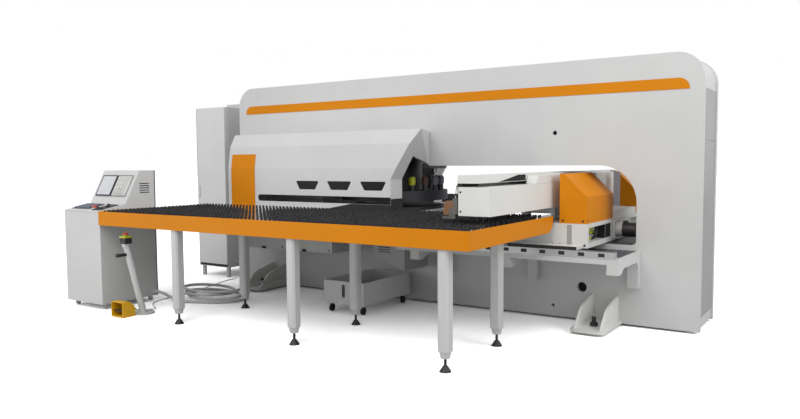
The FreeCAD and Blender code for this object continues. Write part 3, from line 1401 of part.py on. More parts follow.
def make_stop_button(name, x, y, seat):
    """A mushroom head on its stem; returns the collar it is pressed into."""
    collar = rod(name + "_collar_ring", x, y, seat - S.stop_sink, S.stop_collar,
                 S.stop_sink + S.stop_collar_height)
    bore = rod(name + "_collar_bore", x, y, seat, S.stop_stem + S.slide_fit,
               S.stop_collar_height + 1)
    top = seat + S.stop_collar_height + S.stop_travel
    keep(name + "_stop_button", fuse(
        name + "_stop",
        rod(name + "_stop_stem", x, y, seat + S.stop_travel + 2.5, S.stop_stem,
            top - seat - S.stop_travel - 1.5),
        rod(name + "_stop_head", x, y, top + 0.5, S.stop_head, S.stop_head_height),
    ))
    return cut(name + "_collar", collar, bore)


def make_casters(x0, x1, rear):
    """Four swivel casters, wheel and fork in one, under the console."""
    radius, width, inset = S.caster_radius, S.caster_width, S.caster_inset
    corners = [(x0 + inset, S.console_front + inset), (x1 - inset, S.console_front + inset),
               (x0 + inset, rear - inset), (x1 - inset, rear - inset)]
    for index, (x, y) in enumerate(corners, start=1):
        name = "caster_%d" % index
        keep("console_" + name, fuse(
            name,
            rod(name + "_wheel", x - width / 2, y + S.caster_trail, radius, radius, width, "x"),
            block(name + "_fork_left", (x - width / 2 - 3, x - width / 2),
                  (y - 8, y + S.caster_trail + 8), (radius - 6, S.console_bottom - 6)),
            block(name + "_fork_right", (x + width / 2, x + width / 2 + 3),
                  (y - 8, y + S.caster_trail + 8), (radius - 6, S.console_bottom - 6)),
            rod(name + "_head", x, y, S.console_bottom - 6, radius, 5.7),
        ))


# -------------------------------------------------------- foot station and pedal
def make_pedestal():
    """The leaning post with its control box, and the guarded foot pedal."""
    x, y = S.post_foot_along, S.post_foot_across
    top_x, top_y = x - S.post_lean_along, y - S.post_lean_across
    base = rod("post_base", x, y, 0, S.post_base_radius, S.post_base_height)
    low = S.post_base_height / 2
    share = (S.lever_height - low) / (S.station_bottom - low)
    lever_x, lever_y = x - S.post_lean_along * share, y - S.post_lean_across * share
    lean = Vector(-S.post_lean_along.value, -S.post_lean_across.value,
                  S.station_bottom.value - 10 - low.value)
    stem = doc.addObject("Part::Cylinder", "post_stem")
    stem.Radius = S.post_radius.value
    stem.Height = lean.Length
    bind(stem, "Radius", S.post_radius)
    place(stem, x, y, low, Rotation(Vector(0, 0, 1), lean))
    head = rod("post_head", top_x, top_y, S.station_bottom - S.post_radius,
               S.post_radius * 1.15, S.post_radius)
    lever = rod("post_lever", lever_x, lever_y - S.lever_length, S.lever_height,
                S.lever_radius, S.lever_length, "y")
    knob = rod("post_knob", lever_x, lever_y - S.lever_length, S.lever_height,
               S.knob_radius, S.knob_length, "y")
    plug = block("post_plug", (x - 64, x - 34), (y - 15, y + 15), (S.post_base_height, 36))
    rear_plug = block("post_rear_plug", (x - 12, x + 18), (y + 50, y + 80),
                      (S.post_base_height, 30))
    keep("pedestal_post", fuse("post", base, stem, head, lever, knob, plug, rear_plug))
    half = S.station_width / 2
    low, split = S.station_bottom, S.station_bottom + S.station_height
    keep("pedestal_box", block("station_box", (top_x - half, top_x + half),
                               (top_y - half * 0.9, top_y + half * 0.9), (low, split)))
    lid = block("station_lid", (top_x - half - 2, top_x + half + 2),
                (top_y - half * 0.9 - 2, top_y + half * 0.9 + 2),
                (split, split + S.station_lid))
    collar = make_stop_button("pedestal", top_x, top_y, split + S.station_lid)
    keep("pedestal_lid", fuse("lid", lid, collar))

    x0, x1 = S.pedal_left, S.pedal_left + S.pedal_width
    y0, y1 = S.pedal_front, S.pedal_front + S.pedal_length
    wall, top = S.pedal_wall, S.pedal_height
    outer = prism("pedal_outer", "YZ", [
        (y0, 0, 0), (y1, 0, 0), (y1, top * 0.6, 25), (y1 - S.pedal_length * 0.4, top, 30),
        (y0, top, 20),
    ], x0, x1)
    inner = prism("pedal_inner", "YZ", [
        (y0 - 1, wall * 2, 0), (y1 - wall, wall * 2, 0), (y1 - wall, top * 0.6 - wall, 0),
        (y1 - S.pedal_length * 0.4, top - wall, 0), (y0 - 1, top - wall, 0),
    ], x0 + wall, x1 - wall)
    pin = rod("pedal_pin", x0 + 1, S.pedal_axis, S.pedal_axis_height, S.pedal_pin,
              S.pedal_width - 2, "x")
    keep("pedal_guard", fuse("guard_and_pin", cut("pedal_shell", outer, inner), pin))
    lever = prism("pedal_lever", "YZ", [
        (y0 + 18, S.pedal_axis_height + 16, 0), (S.pedal_axis + 14, S.pedal_axis_height - 9, 0),
        (S.pedal_axis + 14, S.pedal_axis_height + 9, 0), (y0 + 18, S.pedal_axis_height + 25, 0),
    ], x0 + wall + 4, x1 - wall - 4)
    bore = rod("pedal_bore", x0 + wall + 3, S.pedal_axis, S.pedal_axis_height,
               S.pedal_pin + S.slide_fit, S.pedal_width - wall * 2 - 6, "x")
    keep("foot_pedal", cut("pedal_lever_bored", lever, bore))


# -------------------------------------------------------------------------- cords
def rounded_wire(name, points):
    """Straight runs joined by tangent arcs; prints the arc radii."""
    edges, start, radii = [], points[0], []
    for before, corner, after in zip(points, points[1:], points[2:]):
        into, out = unit(corner, before), unit(corner, after)
        half = into.getAngle(out) / 2
        run = min((corner - before).Length, (after - corner).Length)
        reach = run * 0.45
        radius = reach * math.tan(half)
        radii.append(radius)
        first, last = corner + into * reach, corner + out * reach
        bisector = unit(Vector(), into + out)
        centre = corner + bisector * (radius / math.sin(half))
        edges.append(Part.LineSegment(start, first).toShape())
        edges.append(Part.Arc(first, centre - bisector * radius, last).toShape())
        start = last
    edges.append(Part.LineSegment(start, points[-1]).toShape())
    print("%s: arc radii %.0f to %.0f mm" % (name, min(radii), max(radii)))
    return Part.Wire(edges)


def own_gap(wire, diameter):
    """Least clear gap between stretches of a cord more than three diameters apart."""
    step = diameter / 3
    points = wire.discretize(Distance=step)
    skip = 10
    least = min((points[i] - points[j]).Length
                for i in range(len(points)) for j in range(i + skip, len(points)))
    return least - diameter


def make_cord(name, points, diameter):
    """A round cord along a route; its volume is compared with its length."""
    path = [Vector(*[number(value) for value in point]) for point in points]
    wire = rounded_wire(name, path)
    print("%s: least own gap %.1f mm" % (name, own_gap(wire, diameter.value)))
    circle = Part.Circle(path[0], unit(path[0], path[1]), diameter.value / 2).toShape()
    shape = wire.makePipeShell([Part.Wire([circle])], True, False)
    ideal = wire.Length * math.pi * diameter.value ** 2 / 4
    if abs(shape.Volume / ideal - 1) > 0.01:
        raise RuntimeError("cord %s is folded: %.4f of its volume" % (name, shape.Volume / ideal))
    cord = doc.addObject("Part::Feature", name + "_tube")
    cord.Shape = shape
    keep(name, cord)


def loop_point(index, steps):
    """A point of the conduit's loose loops, which differ in size and fan out."""
    lap = index / steps
    angle = 2 * math.pi * (lap - 0.19)
    swell = 1 + 0.13 * math.sin(2.3 * lap + 0.4)
    along = S.loop_along + S.loop_length * swell * math.cos(angle) + 46 * math.sin(1.9 * lap)
    across = S.loop_across + S.loop_width * swell * math.sin(angle) + 34 * math.sin(2.7 * lap)
    return along, across, conduit_floor + conduit_rise * lap


def make_cords():
    """The conduit with its pile of loops, the pedal lead and the white lead."""
    x1 = S.console_left + S.console_width + S.gland_length
    y, z = S.conduit_across, S.conduit_height
    route = [(x1, y, z), (x1 + 90, y, z), (x1 + 180, y + 8, z - 34),
             (x1 + 280, y + 34, conduit_floor + 12), (x1 + 392, y + 84, conduit_floor + 2)]
    steps = 12
    route += [loop_point(index, steps) for index in range(int(S.loop_laps.value) * steps + 3)]
    leave, high = conduit_end_along, conduit_end_height
    route += [(leave + 34, S.loop_across + 95, high - 14), (leave + 12, -960, high - 4),
              (leave + 4, -750, high), (leave + 10, -540, high),
              (leave, frame_front - 140, high), (leave, frame_front - S.gland_length, high)]
    make_cord("conduit", route, S.conduit_diameter)

    x, y = S.pedal_left, S.pedal_front + S.pedal_length - 30
    plug_x, plug_y = S.post_foot_along - 64, S.post_foot_across
    seat = S.post_base_height + S.lead_diameter / 2 + 3
    make_cord("pedal_lead", [
        (x, y, 24), (x - 78, y, 24), (x - 138, y + 70, 16), (x - 128, plug_y + 20, 10),
        (x - 50, plug_y + 66, 14), (plug_x - 74, plug_y, seat), (plug_x, plug_y, seat),
    ], S.lead_diameter)

    x0 = S.cabinet_left + S.cabinet_width + S.gland_length
    y, z = S.cabinet_gland_across, S.cabinet_gland_height
    low = S.lead_diameter / 2 + 0.5
    post_x, post_y = S.post_foot_along + 3, S.post_foot_across + 80
    make_cord("cabinet_lead", [
        (x0, y, z), (x0 + 90, y, z), (x0 + 150, y - 40, z - 110), (x0 + 130, y - 150, low),
        (x0 + 100, y - 240, low), (x0 + 130, y - 300, low), (x0 + 160, y - 420, low),
        (x0 + 210, y - 540, low), (x0 + 240, y - 660, low), (x0 + 300, y - 780, low),
        (x0 + 320, y - 900, low), (x0 + 380, y - 1020, low), (x0 + 400, y - 1140, low),
        (x0 + 430, y - 1260, low), (x0 + 420, y - 1380, low), (x0 + 440, y - 1500, low),
        (x0 + 500, y - 1610, low), (x0 + 600, y - 1690, low), (x0 + 690, y - 1740, low + 6),
        (post_x, post_y + 60, 21), (post_x, post_y, 21),
    ], S.lead_diameter)


# --------------------------------------------------------------------- finishing
def finish():
    """Check every object, then write each sub-part to its own file."""
    doc.recompute()
    for thing in doc.Objects:
        if "Invalid" in thing.State or "Error" in thing.State:
            raise RuntimeError("%s (%s) failed: %s" % (thing.Name, thing.Label, thing.State))
    for name, thing in pieces.items():
        if thing.Shape.isNull() or not thing.Shape.isValid() or not thing.Shape.Solids:
            raise RuntimeError("sub-part %s has no valid solid" % name)
    os.makedirs("parts", exist_ok=True)
    for name, thing in pieces.items():
        thing.Shape.exportStep("parts/%s.step" % name)
    print("%d sub-parts written" % len(pieces))


make_frame()
make_end_covers()
make_stripe()
jacks = make_brackets()
make_ledges()
make_saddle()
make_saddle_drive()
make_beam()
make_clamps()
make_turret()
make_hoods()
make_tables(jacks)
make_lower_cover()
make_scrap()
make_cabinet()
make_console()
make_pedestal()
make_cords()
finish()
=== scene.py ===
"""Looks for the turret punch press: camera, cords, paint, metal, bristles and small trim."""
import bpy
import bmesh
import math
import random
from itertools import product
from mathutils import Matrix, Vector


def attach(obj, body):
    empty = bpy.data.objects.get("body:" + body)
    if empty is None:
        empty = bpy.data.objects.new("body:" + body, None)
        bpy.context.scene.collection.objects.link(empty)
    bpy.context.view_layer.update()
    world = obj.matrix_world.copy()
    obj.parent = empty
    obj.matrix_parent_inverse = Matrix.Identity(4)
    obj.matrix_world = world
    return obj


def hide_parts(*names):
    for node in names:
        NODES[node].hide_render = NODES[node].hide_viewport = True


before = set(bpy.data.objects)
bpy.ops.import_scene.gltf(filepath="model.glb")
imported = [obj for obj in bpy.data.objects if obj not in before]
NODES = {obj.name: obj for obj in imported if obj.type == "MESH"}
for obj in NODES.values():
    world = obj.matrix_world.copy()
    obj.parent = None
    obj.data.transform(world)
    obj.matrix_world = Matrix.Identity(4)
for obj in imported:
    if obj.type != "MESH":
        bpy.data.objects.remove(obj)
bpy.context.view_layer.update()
scene = bpy.context.scene
random.seed(7)

# Metres and degrees. Right is +X, away from the operator is +Y and up is +Z.
RIGHT, FRONT, BACK, UP = (1, 0, 0), (0, -1, 0), (0, 1, 0), (0, 0, 1)
LEFT = (-1, 0, 0)
MIDDLE_Y = 0.040                   # the front and rear halves mirror about this plane

CAMERA_PLACE = (3.980, -6.182, 1.3878)
CAMERA_YAW, CAMERA_TILT, CAMERA_ROLL = 33.297, 3.8178, -0.3715
CAMERA_LENS, CAMERA_SENSOR = 31.607, 36

STATIONS, STATION_RADIUS = 20, 0.492
TURRET_X, SPRING_Z, SPRING_REACH = -0.170, 1.202, 0.0505

CONDUIT_THICK, LEAD_THICK = 0.028, 0.009
LOOP_X, LOOP_Y = -1.570, -1.255    # middle of the conduit's pile of loops
LOOP_WIDE, LOOP_DEEP = 0.340, 0.215
LAPS, LAP_STEPS = 3, 12

TUFT_PITCH, TUFT_SIDES = 0.046, 6
TUFT_FOOT, TUFT_TIP = (0.930, 0.0065), (0.962, 0.0100)   # height, radius
TUFT_MIDDLE_Z = 0.9585


def mirrored(y):
    """The same place on the other side of the machine's middle."""
    return 2 * MIDDLE_Y - y


# ------------------------------------------------------------------------- camera
def make_camera():
    """The photograph's viewpoint, solved from the machine's straight edges."""
    yaw, tilt, roll = (math.radians(turn) for turn in (CAMERA_YAW, CAMERA_TILT, CAMERA_ROLL))
    flat = Vector((math.cos(yaw), math.sin(yaw), 0))
    ahead = Vector((-math.sin(yaw) * math.cos(tilt), math.cos(yaw) * math.cos(tilt),
                    -math.sin(tilt)))
    above = Vector((-math.sin(yaw) * math.sin(tilt), math.cos(yaw) * math.sin(tilt),
                    math.cos(tilt)))
    right = flat * math.cos(roll) + above * math.sin(roll)
    up = above * math.cos(roll) - flat * math.sin(roll)
    data = bpy.data.cameras.new("photo_camera")
    data.sensor_fit = "HORIZONTAL"
    data.sensor_width = CAMERA_SENSOR
    data.lens = CAMERA_LENS
    data.clip_end = 200
    camera = bpy.data.objects.new("photo_camera", data)
    turn = Matrix((right, up, -ahead)).transposed().to_4x4()
    camera.matrix_world = Matrix.Translation(CAMERA_PLACE) @ turn
    scene.collection.objects.link(camera)
    scene.camera = camera


# -------------------------------------------------------------------- node helpers
def feed(tree, value, socket):
    """Give a socket its value: another node's output, or a plain number or colour."""
    if isinstance(value, bpy.types.NodeSocket):
        tree.links.new(value, socket)
    else:
        socket.default_value = value


def add_node(tree, kind, **inputs):
    """A new node; an underscore in an input's name stands for a space."""
    node = tree.nodes.new(kind)
    for name, value in inputs.items():
        feed(tree, value, node.inputs[name.replace("_", " ")])
    return node


def new_material(name, colour, rough=0.5, metallic=0.0, **inputs):
    """A principled material with its plain values set, its node tree and its shader."""
    material = bpy.data.materials.new(name)
    material.use_nodes = True
    shader = material.node_tree.nodes["Principled BSDF"]
    inputs.update(Base_Color=(*colour, 1), Roughness=rough, Metallic=metallic)
    for key, value in inputs.items():
        shader.inputs[key.replace("_", " ")].default_value = value
    return material, material.node_tree, shader


def texture(tree, kind, scale, stretch=(1, 1, 1), **values):
    """A procedural texture in the object's own coordinates."""
    place = tree.nodes.new("ShaderNodeTexCoord")
    mapping = add_node(tree, "ShaderNodeMapping", Scale=stretch,
                       Vector=place.outputs["Object"])
    return add_node(tree, kind, Scale=scale, Vector=mapping.outputs["Vector"], **values)


def noise(tree, scale, stretch=(1, 1, 1), **values):
    """The strength of a noise texture."""
    return texture(tree, "ShaderNodeTexNoise", scale, stretch, **values).outputs["Fac"]


def vary(tree, shader, name, source, low, high):
    """Let a source move a plain socket between two values."""
    spread = add_node(tree, "ShaderNodeMapRange", To_Min=low, To_Max=high, Value=source)
    tree.links.new(spread.outputs["Result"], shader.inputs[name])


def ramp(tree, source, colours, places):
    """Two colours along a source."""
    spread = add_node(tree, "ShaderNodeValToRGB", Fac=source)
    for element, place, colour in zip(spread.color_ramp.elements, places, colours):
        element.position = place
        element.color = (*colour, 1)
    return spread.outputs["Color"]


def scaled(colour, factor):
    return tuple(min(1.0, channel * factor) for channel in colour)


def tint(tree, shader, source, colour, dark, light):
    """Vary the base colour along a source, between two shares of itself."""
    shades = ramp(tree, source, (scaled(colour, dark), scaled(colour, light)), (0.3, 0.7))
    tree.links.new(shades, shader.inputs["Base Color"])


def relief(tree, shader, source, strength, distance, edge=0.0):
    """Bump from a texture, over softly rounded edges."""
    bump = add_node(tree, "ShaderNodeBump", Strength=strength, Distance=distance,
                    Height=source)
    if edge:
        bevel = add_node(tree, "ShaderNodeBevel", Radius=edge)
        bevel.samples = 4
        tree.links.new(bevel.outputs["Normal"], bump.inputs["Normal"])
    tree.links.new(bump.outputs["Normal"], shader.inputs["Normal"])


def math_node(tree, operation, first, second=0.0):
    """The output of one Math node on a source and a second source or number."""
    step = tree.nodes.new("ShaderNodeMath")
    step.operation = operation
    feed(tree, first, step.inputs[0])
    feed(tree, second, step.inputs[1])
    return step.outputs[0]


def blend_colours(tree, mask, first, second):
    """Two colours, each a socket or a plain colour, mixed by a mask."""
    blend = tree.nodes.new("ShaderNodeMix")
    blend.data_type = "RGBA"
    feed(tree, mask, blend.inputs["Factor"])
    for socket, colour in (("A", first), ("B", second)):
        feed(tree, (*colour, 1) if isinstance(colour, tuple) else colour,
             blend.inputs[socket])
    return blend.outputs["Result"]


# ---------------------------------------------------------------------- materials
def paint(name, colour, rough=0.38, edge=0.004, spread=0.035, gloss=0.5):
    """Powder coat: slight orange peel, faint clouding, soft edges."""
    material, tree, shader = new_material(name, colour, rough, Specular_IOR_Level=gloss)
    cloud = noise(tree, 1.7, Detail=5.0, Roughness=0.6)
    tint(tree, shader, cloud, colour, 1 - spread, 1 + spread)
    smudge = noise(tree, 6.0, Detail=8.0, Roughness=0.7)
    vary(tree, shader, "Roughness", smudge, rough - 0.08, rough + 0.12)
    relief(tree, shader, noise(tree, 420.0, Detail=2.0), 0.12, 0.0006, edge)
    return material


def metal(name, colour, rough=0.32, stretch=(1, 1, 1), grain=0.12, edge=0.0015):
    """Ground or brushed metal: grain stretched along one axis."""
    material, tree, shader = new_material(name, colour, rough, 1.0)
    lines = noise(tree, 60.0, stretch, Detail=6.0)
    tint(tree, shader, lines, colour, 0.82, 1.1)
    vary(tree, shader, "Roughness", lines, rough - 0.08, rough + 0.14)
    relief(tree, shader, lines, grain, 0.0008, edge)
    return material


def plastic(name, colour, rough=0.45, grain=700.0, depth=0.15, edge=0.002):
    """Moulded plastic or rubber with a fine spark-eroded grain."""
    material, tree, shader = new_material(name, colour, rough)
    grains = texture(tree, "ShaderNodeTexVoronoi", grain)
    tint(tree, shader, noise(tree, 9.0, Detail=6.0), colour, 0.9, 1.12)
    relief(tree, shader, grains.outputs["Distance"], depth, 0.0004, edge)
    return material


def mix_by_place(name, below, above, axis, place, rough, metallic, middle=None):
    """Two finishes in one piece, parted along an axis, or by the distance from a middle.

    rough and metallic hold the value below the place and the one above it.
    """
    material, tree, shader = new_material(name, above)
    coords = tree.nodes.new("ShaderNodeTexCoord")
    parts = add_node(tree, "ShaderNodeSeparateXYZ", Vector=coords.outputs["Object"])
    value = parts.outputs[axis]
    if middle is not None:
        value = math_node(tree, "ABSOLUTE", math_node(tree, "SUBTRACT", value, middle))
    past = math_node(tree, "GREATER_THAN", value, place)
    lines = noise(tree, 24.0, (1, 9, 1), Detail=6.0)
    shades = [ramp(tree, lines, (scaled(colour, 0.94), scaled(colour, 1.05)), (0, 1))
              for colour in (below, above)]
    tree.links.new(blend_colours(tree, past, *shades), shader.inputs["Base Color"])
    vary(tree, shader, "Roughness", past, *rough)
    vary(tree, shader, "Metallic", past, *metallic)
    relief(tree, shader, lines, 0.05, 0.0006, 0.002)
    return material


def punch_material():
    """Dark tool steel, with springs of several strengths and colours."""
    steel = (0.045, 0.047, 0.055)
    springs = {(0.50, 0.52, 0.02): (5, 12, 18), (0.13, 0.05, 0.045): (8, 15, 19),
               (0.26, 0.26, 0.32): (0, 1, 2, 3)}         # colour: its stations
    material, tree, shader = new_material("tool_steel", steel, 0.45)
    coords = tree.nodes.new("ShaderNodeTexCoord")
    worn = noise(tree, 40.0, Detail=5.0)
    colour = blend_colours(tree, worn, scaled(steel, 0.7), scaled(steel, 1.5))
    for shade, stations in springs.items():
        for station in stations:
            angle = 2 * math.pi * station / STATIONS
            gap = tree.nodes.new("ShaderNodeVectorMath")
            gap.operation = "DISTANCE"
            gap.inputs[1].default_value = (TURRET_X + STATION_RADIUS * math.cos(angle),
                                           MIDDLE_Y + STATION_RADIUS * math.sin(angle),
                                           SPRING_Z)
            feed(tree, coords.outputs["Object"], gap.inputs[0])
            near = math_node(tree, "LESS_THAN", gap.outputs["Value"], SPRING_REACH)
            colour = blend_colours(tree, near, colour, shade)
    tree.links.new(colour, shader.inputs["Base Color"])
    relief(tree, shader, worn, 0.08, 0.0006, 0.001)
    return material


def glass_material():
    """Smoked window panes, slightly uneven."""
    material, tree, shader = new_material("smoked_glass", (0.008, 0.009, 0.010), 0.3,
                                          Specular_IOR_Level=0.1)
    relief(tree, shader, noise(tree, 3.0), 0.02, 0.001)
    return material


def display_material():
    """A lit display seen from a distance: pale fields in slightly darker bars."""
    material, tree, shader = new_material("display", (0.5, 0.55, 0.6), 0.12,
                                          Emission_Strength=0.04)
    fields = texture(tree, "ShaderNodeTexBrick", 1.0, (9, 9, 13), Mortar_Size=0.01,
                     Color1=(0.60, 0.61, 0.63, 1), Color2=(0.55, 0.56, 0.585, 1),
                     Mortar=(0.50, 0.51, 0.535, 1))
    for name in ("Base Color", "Emission Color"):
        tree.links.new(fields.outputs["Color"], shader.inputs[name])
    return material


def make_materials():
    return {
        "frame": paint("frame_paint", (0.60, 0.605, 0.60), gloss=0.35),
        # Darker grey on the light grey end covers: painted shade for the machine's end faces.
        "shade": paint("end_covers_painted_shade", (0.34, 0.343, 0.34), gloss=0.3),
        "door": paint("door_paint", (0.69, 0.695, 0.69), gloss=0.35),
        # Real white on the beam cover, cable tray and risers; on the levelling brackets and
        # console casters it is painted light.
        "white": paint("white_paint", (0.72, 0.725, 0.70), gloss=0.35),
        "orange": paint("orange_paint", (0.66, 0.225, 0.004), 0.46, gloss=0.12),
        "grey": paint("grey_paint", (0.36, 0.365, 0.36), 0.42),
        "black": paint("black_paint", (0.014, 0.014, 0.016), 0.5),
        "deck": mix_by_place("painted_frame_under_deck", (0.56, 0.565, 0.56),
                             (0.80, 0.80, 0.82), "Z", 0.9292, (0.4, 0.13), (0, 1)),
        "cart_wheels": mix_by_place("rubber_under_fork", (0.02, 0.02, 0.022),
                                    (0.55, 0.55, 0.55), "Z", 0.0735, (0.7, 0.35), (0, 1)),
        # The rails' tops, above 0.6985, are dark and dull: painted shade on the rails beside the
        # saddle.
        "rails": mix_by_place("rails_with_shade_painted_tops", (0.60, 0.61, 0.62),
                              (0.12, 0.12, 0.125), "Z", 0.6985, (0.35, 0.5), (1, 0)),
        # Beyond 0.9466 from the middle the saddle turns near black over its shoes: painted shade
        # under the saddle's apron.
        "saddle": mix_by_place("saddle_with_shade_painted_shoes", (0.68, 0.685, 0.665),
                               (0.012, 0.012, 0.014), "Y", 0.9466, (0.4, 0.5), (0, 0),
                               MIDDLE_Y),
        "beam": mix_by_place("beam_with_black_ends", (0.60, 0.60, 0.585),
                             (0.012, 0.012, 0.014), "Y", 1.61, (0.4, 0.5), (0, 0), MIDDLE_Y),
        "motor": mix_by_place("motor_with_grey_mount", (0.50, 0.505, 0.50),
                              (0.02, 0.02, 0.022), "X", 2.262, (0.4, 0.5), (0, 0)),
        "steel": metal("ground_steel", (0.45, 0.45, 0.46), 0.3, (1, 14, 1)),
        "dark_steel": metal("dark_steel", (0.07, 0.07, 0.078), 0.5, (6, 1, 1)),
        "carriage": metal("carriage_steel", (0.17, 0.165, 0.15), 0.5, (1, 14, 1)),
        "bronze": metal("clamp_bronze", (0.27, 0.145, 0.08), 0.5),
        "punch": punch_material(),
        "slate": plastic("slate_plastic", (0.10, 0.11, 0.15), 0.5),
        "lilac": paint("lilac_paint", (0.55, 0.55, 0.63), gloss=0.3),
        "yellow": plastic("yellow_plastic", (0.74, 0.40, 0.006), 0.45),
        "lime": plastic("lime_plastic", (0.50, 0.52, 0.02), 0.4),
        "red": plastic("red_plastic", (0.66, 0.05, 0.015), 0.3),
        "black_plastic": plastic("black_plastic", (0.02, 0.02, 0.022), 0.5),
        "dark_plastic": plastic("dark_plastic", (0.045, 0.05, 0.065), 0.4),
        "grey_plastic": plastic("grey_plastic", (0.42, 0.43, 0.44), 0.5),
        "pale_plastic": plastic("pale_plastic", (0.55, 0.55, 0.53), 0.5),
        "rubber": plastic("rubber", (0.022, 0.022, 0.024), 0.75, 300.0, 0.3),
        "hose": plastic("grey_hose", (0.56, 0.565, 0.56), 0.5, 200.0, 0.3),
        "white_lead": plastic("white_lead", (0.66, 0.66, 0.65), 0.5),
        "bristle": plastic("bristle", (0.014, 0.014, 0.016), 0.7, 900.0, 0.5, 0.0),
        # Near black used only as painted shade: in the plate's holes, over the saddle's pocket
        # and beside the tray.
        "hole": plastic("painted_shade_black", (0.004, 0.004, 0.005), 0.9, 300.0, 0.1, 0.0),
        "glass": glass_material(),
        "display": display_material(),
    }


COATS = {
    "frame": "main_frame saddle_ledges lower_cover scrap_cart cabinet_body console_body "
             "hood_front hood_rear pedestal_post",
    # frame_end_covers take the darker grey as painted shade.
    "shade": "frame_end_covers",
    "door": "cabinet_door",
    # The levelling brackets and console casters take the pale white coat to lift them out of the
    # shade under the table: painted light; the casters' wheels are pale as well.
    "white": "beam_cover cable_tray levelling_brackets console_caster_1 console_caster_2 "
             "console_caster_3 console_caster_4",
    "saddle": "saddle",
    "beam": "cross_beam",
    "orange": "accent_stripe drive_covers hood_accent table_fascias",
    "grey": "ram_housing scrap_chute cabinet_drives",
    "black": "levelling_feet console_rear_cover turret_base turret_hub",
    "motor": "saddle_motor",
    "steel": "striker",
    "carriage": "clamp_carriage",
    "deck": "table_front table_rear centre_table",
    "cart_wheels": "cart_casters",
    "rails": "guide_rails",
    "dark_steel": "lower_turret upper_turret",
    "bronze": "clamp_jaw_1 clamp_jaw_2 clamp_jaw_3",
    "punch": "punches",
    "lime": "pedestal_lid",
    "yellow": "pedal_guard",
    "red": "console_stop_button pedestal_stop_button",
    "black_plastic": "pedestal_box foot_pedal",
    "dark_plastic": "console_screen",
    "slate": "console_keyboard",
    "grey_plastic": "cable_chain",
    "pale_plastic": "console_keypad",
    "rubber": "pedal_lead",
    "hose": "conduit",
    "white_lead": "cabinet_lead",
    "glass": "hood_windows",
    "bristle": "brush_rows",
}


def coat_nodes():
    """Give every CAD node its finish."""
    for coat, names in COATS.items():
        for name in names.split():
            materials = NODES[name].data.materials
            materials.clear()
            materials.append(finishes[coat])


# ------------------------------------------------------------------ piece helpers
def link(name, data, body, coat):
    """Put a mesh or a curve into the scene, finished and riding on a body."""
    piece = bpy.data.objects.new(name, data)
    scene.collection.objects.link(piece)
    data.materials.append(finishes[coat])
    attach(piece, body)
    return piece


def mesh_piece(name, build, body, coat, bevel=0.0, smooth=False):
    """A piece whose mesh is made by a function of a bmesh."""
    bm = bmesh.new()
    build(bm)
    if bevel:
        bmesh.ops.bevel(bm, geom=list(bm.edges), offset=bevel, segments=2,
                        affect="EDGES", profile=0.6)
    bmesh.ops.recalc_face_normals(bm, faces=bm.faces)
    data = bpy.data.meshes.new(name)
    bm.to_mesh(data)
    bm.free()
    if smooth:
        for face in data.polygons:
            face.use_smooth = True
    link(name, data, body, coat)


def box_piece(name, boxes, body, coat, bevel=0.0):
    """A piece of boxes, each given by its low and its high corner."""
    def build(bm):
        for low, high in boxes:
            add_box(bm, low, high)
    mesh_piece(name, build, body, coat, bevel)


def add_block(bm, corners):
    """Six faces on eight corners, listed with the last coordinate changing first."""
    verts = [bm.verts.new(corner) for corner in corners]
    for face in ((0, 1, 3, 2), (4, 6, 7, 5), (0, 4, 5, 1), (2, 3, 7, 6),
                 (0, 2, 6, 4), (1, 5, 7, 3)):
        bm.faces.new([verts[index] for index in face])


def add_box(bm, low, high):
    add_block(bm, product(*zip(low, high)))


def add_prism(bm, outline, ends):
    """An outline of (y, z) places, drawn out between two places along x."""
    ring = [bm.verts.new((x, y, z)) for x in ends for y, z in outline]
    count = len(outline)
    bm.faces.new(ring[:count])
    bm.faces.new(ring[count:])
    for a in range(count):
        b = (a + 1) % count
        bm.faces.new((ring[a], ring[b], ring[b + count], ring[a + count]))


def add_lathe(bm, centre, axis, rings, sides=16):
    """A turned form: rings of (distance along the axis, radius)."""
    axis = Vector(axis).normalized()
    across = axis.orthogonal().normalized()
    other = axis.cross(across)
    loops = []
    for along, radius in rings:
        loops.append([bm.verts.new(Vector(centre) + axis * along + (
            across * math.cos(2 * math.pi * k / sides)
            + other * math.sin(2 * math.pi * k / sides)) * radius) for k in range(sides)])
    for low, high in zip(loops, loops[1:]):
        for k in range(sides):
            bm.faces.new((low[k], low[(k + 1) % sides], high[(k + 1) % sides], high[k]))
    bm.faces.new(loops[0][::-1])
    bm.faces.new(loops[-1])


def round_curve(name, points, radius, roundness, steps):
    """A smooth round curve with closed ends, drawn by the given points."""
    data = bpy.data.curves.new(name, "CURVE")
    data.dimensions = "3D"
    data.bevel_depth = radius
    data.bevel_resolution = roundness
    data.use_fill_caps = True
    line = data.splines.new("NURBS")
    line.points.add(len(points) - 1)
    for point, place in zip(line.points, points):
        point.co = (*place, 1)
    line.order_u = 3
    line.use_endpoint_u = True
    line.resolution_u = steps
    return data


def tube(name, points, radius, body):
    """A formed rubber pipe with a fixed shape."""
    link(name, round_curve(name, points, radius, 3, 6), body, "rubber")


# -------------------------------------------------------------------------- cords
def cord(name, route, diameter, coat, node):
    """A cord on the route's own points, smooth, round and full length."""
    data = round_curve(name, route, diameter / 2, 4, 10)
    piece = link(name, data, "machine", coat)
    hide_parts(node)
    curve_length(data)


def curve_length(data):
    """Length of the smooth centreline, measured on a copy of the curve."""
    thin = data.copy()
    thin.bevel_depth = 0
    probe = bpy.data.objects.new("centreline", thin)
    line = bpy.data.meshes.new_from_object(probe)
    total = sum((line.vertices[e.vertices[0]].co - line.vertices[e.vertices[1]].co).length
                for e in line.edges)
    bpy.data.objects.remove(probe)
    bpy.data.curves.remove(thin)
    bpy.data.meshes.remove(line)
    return total


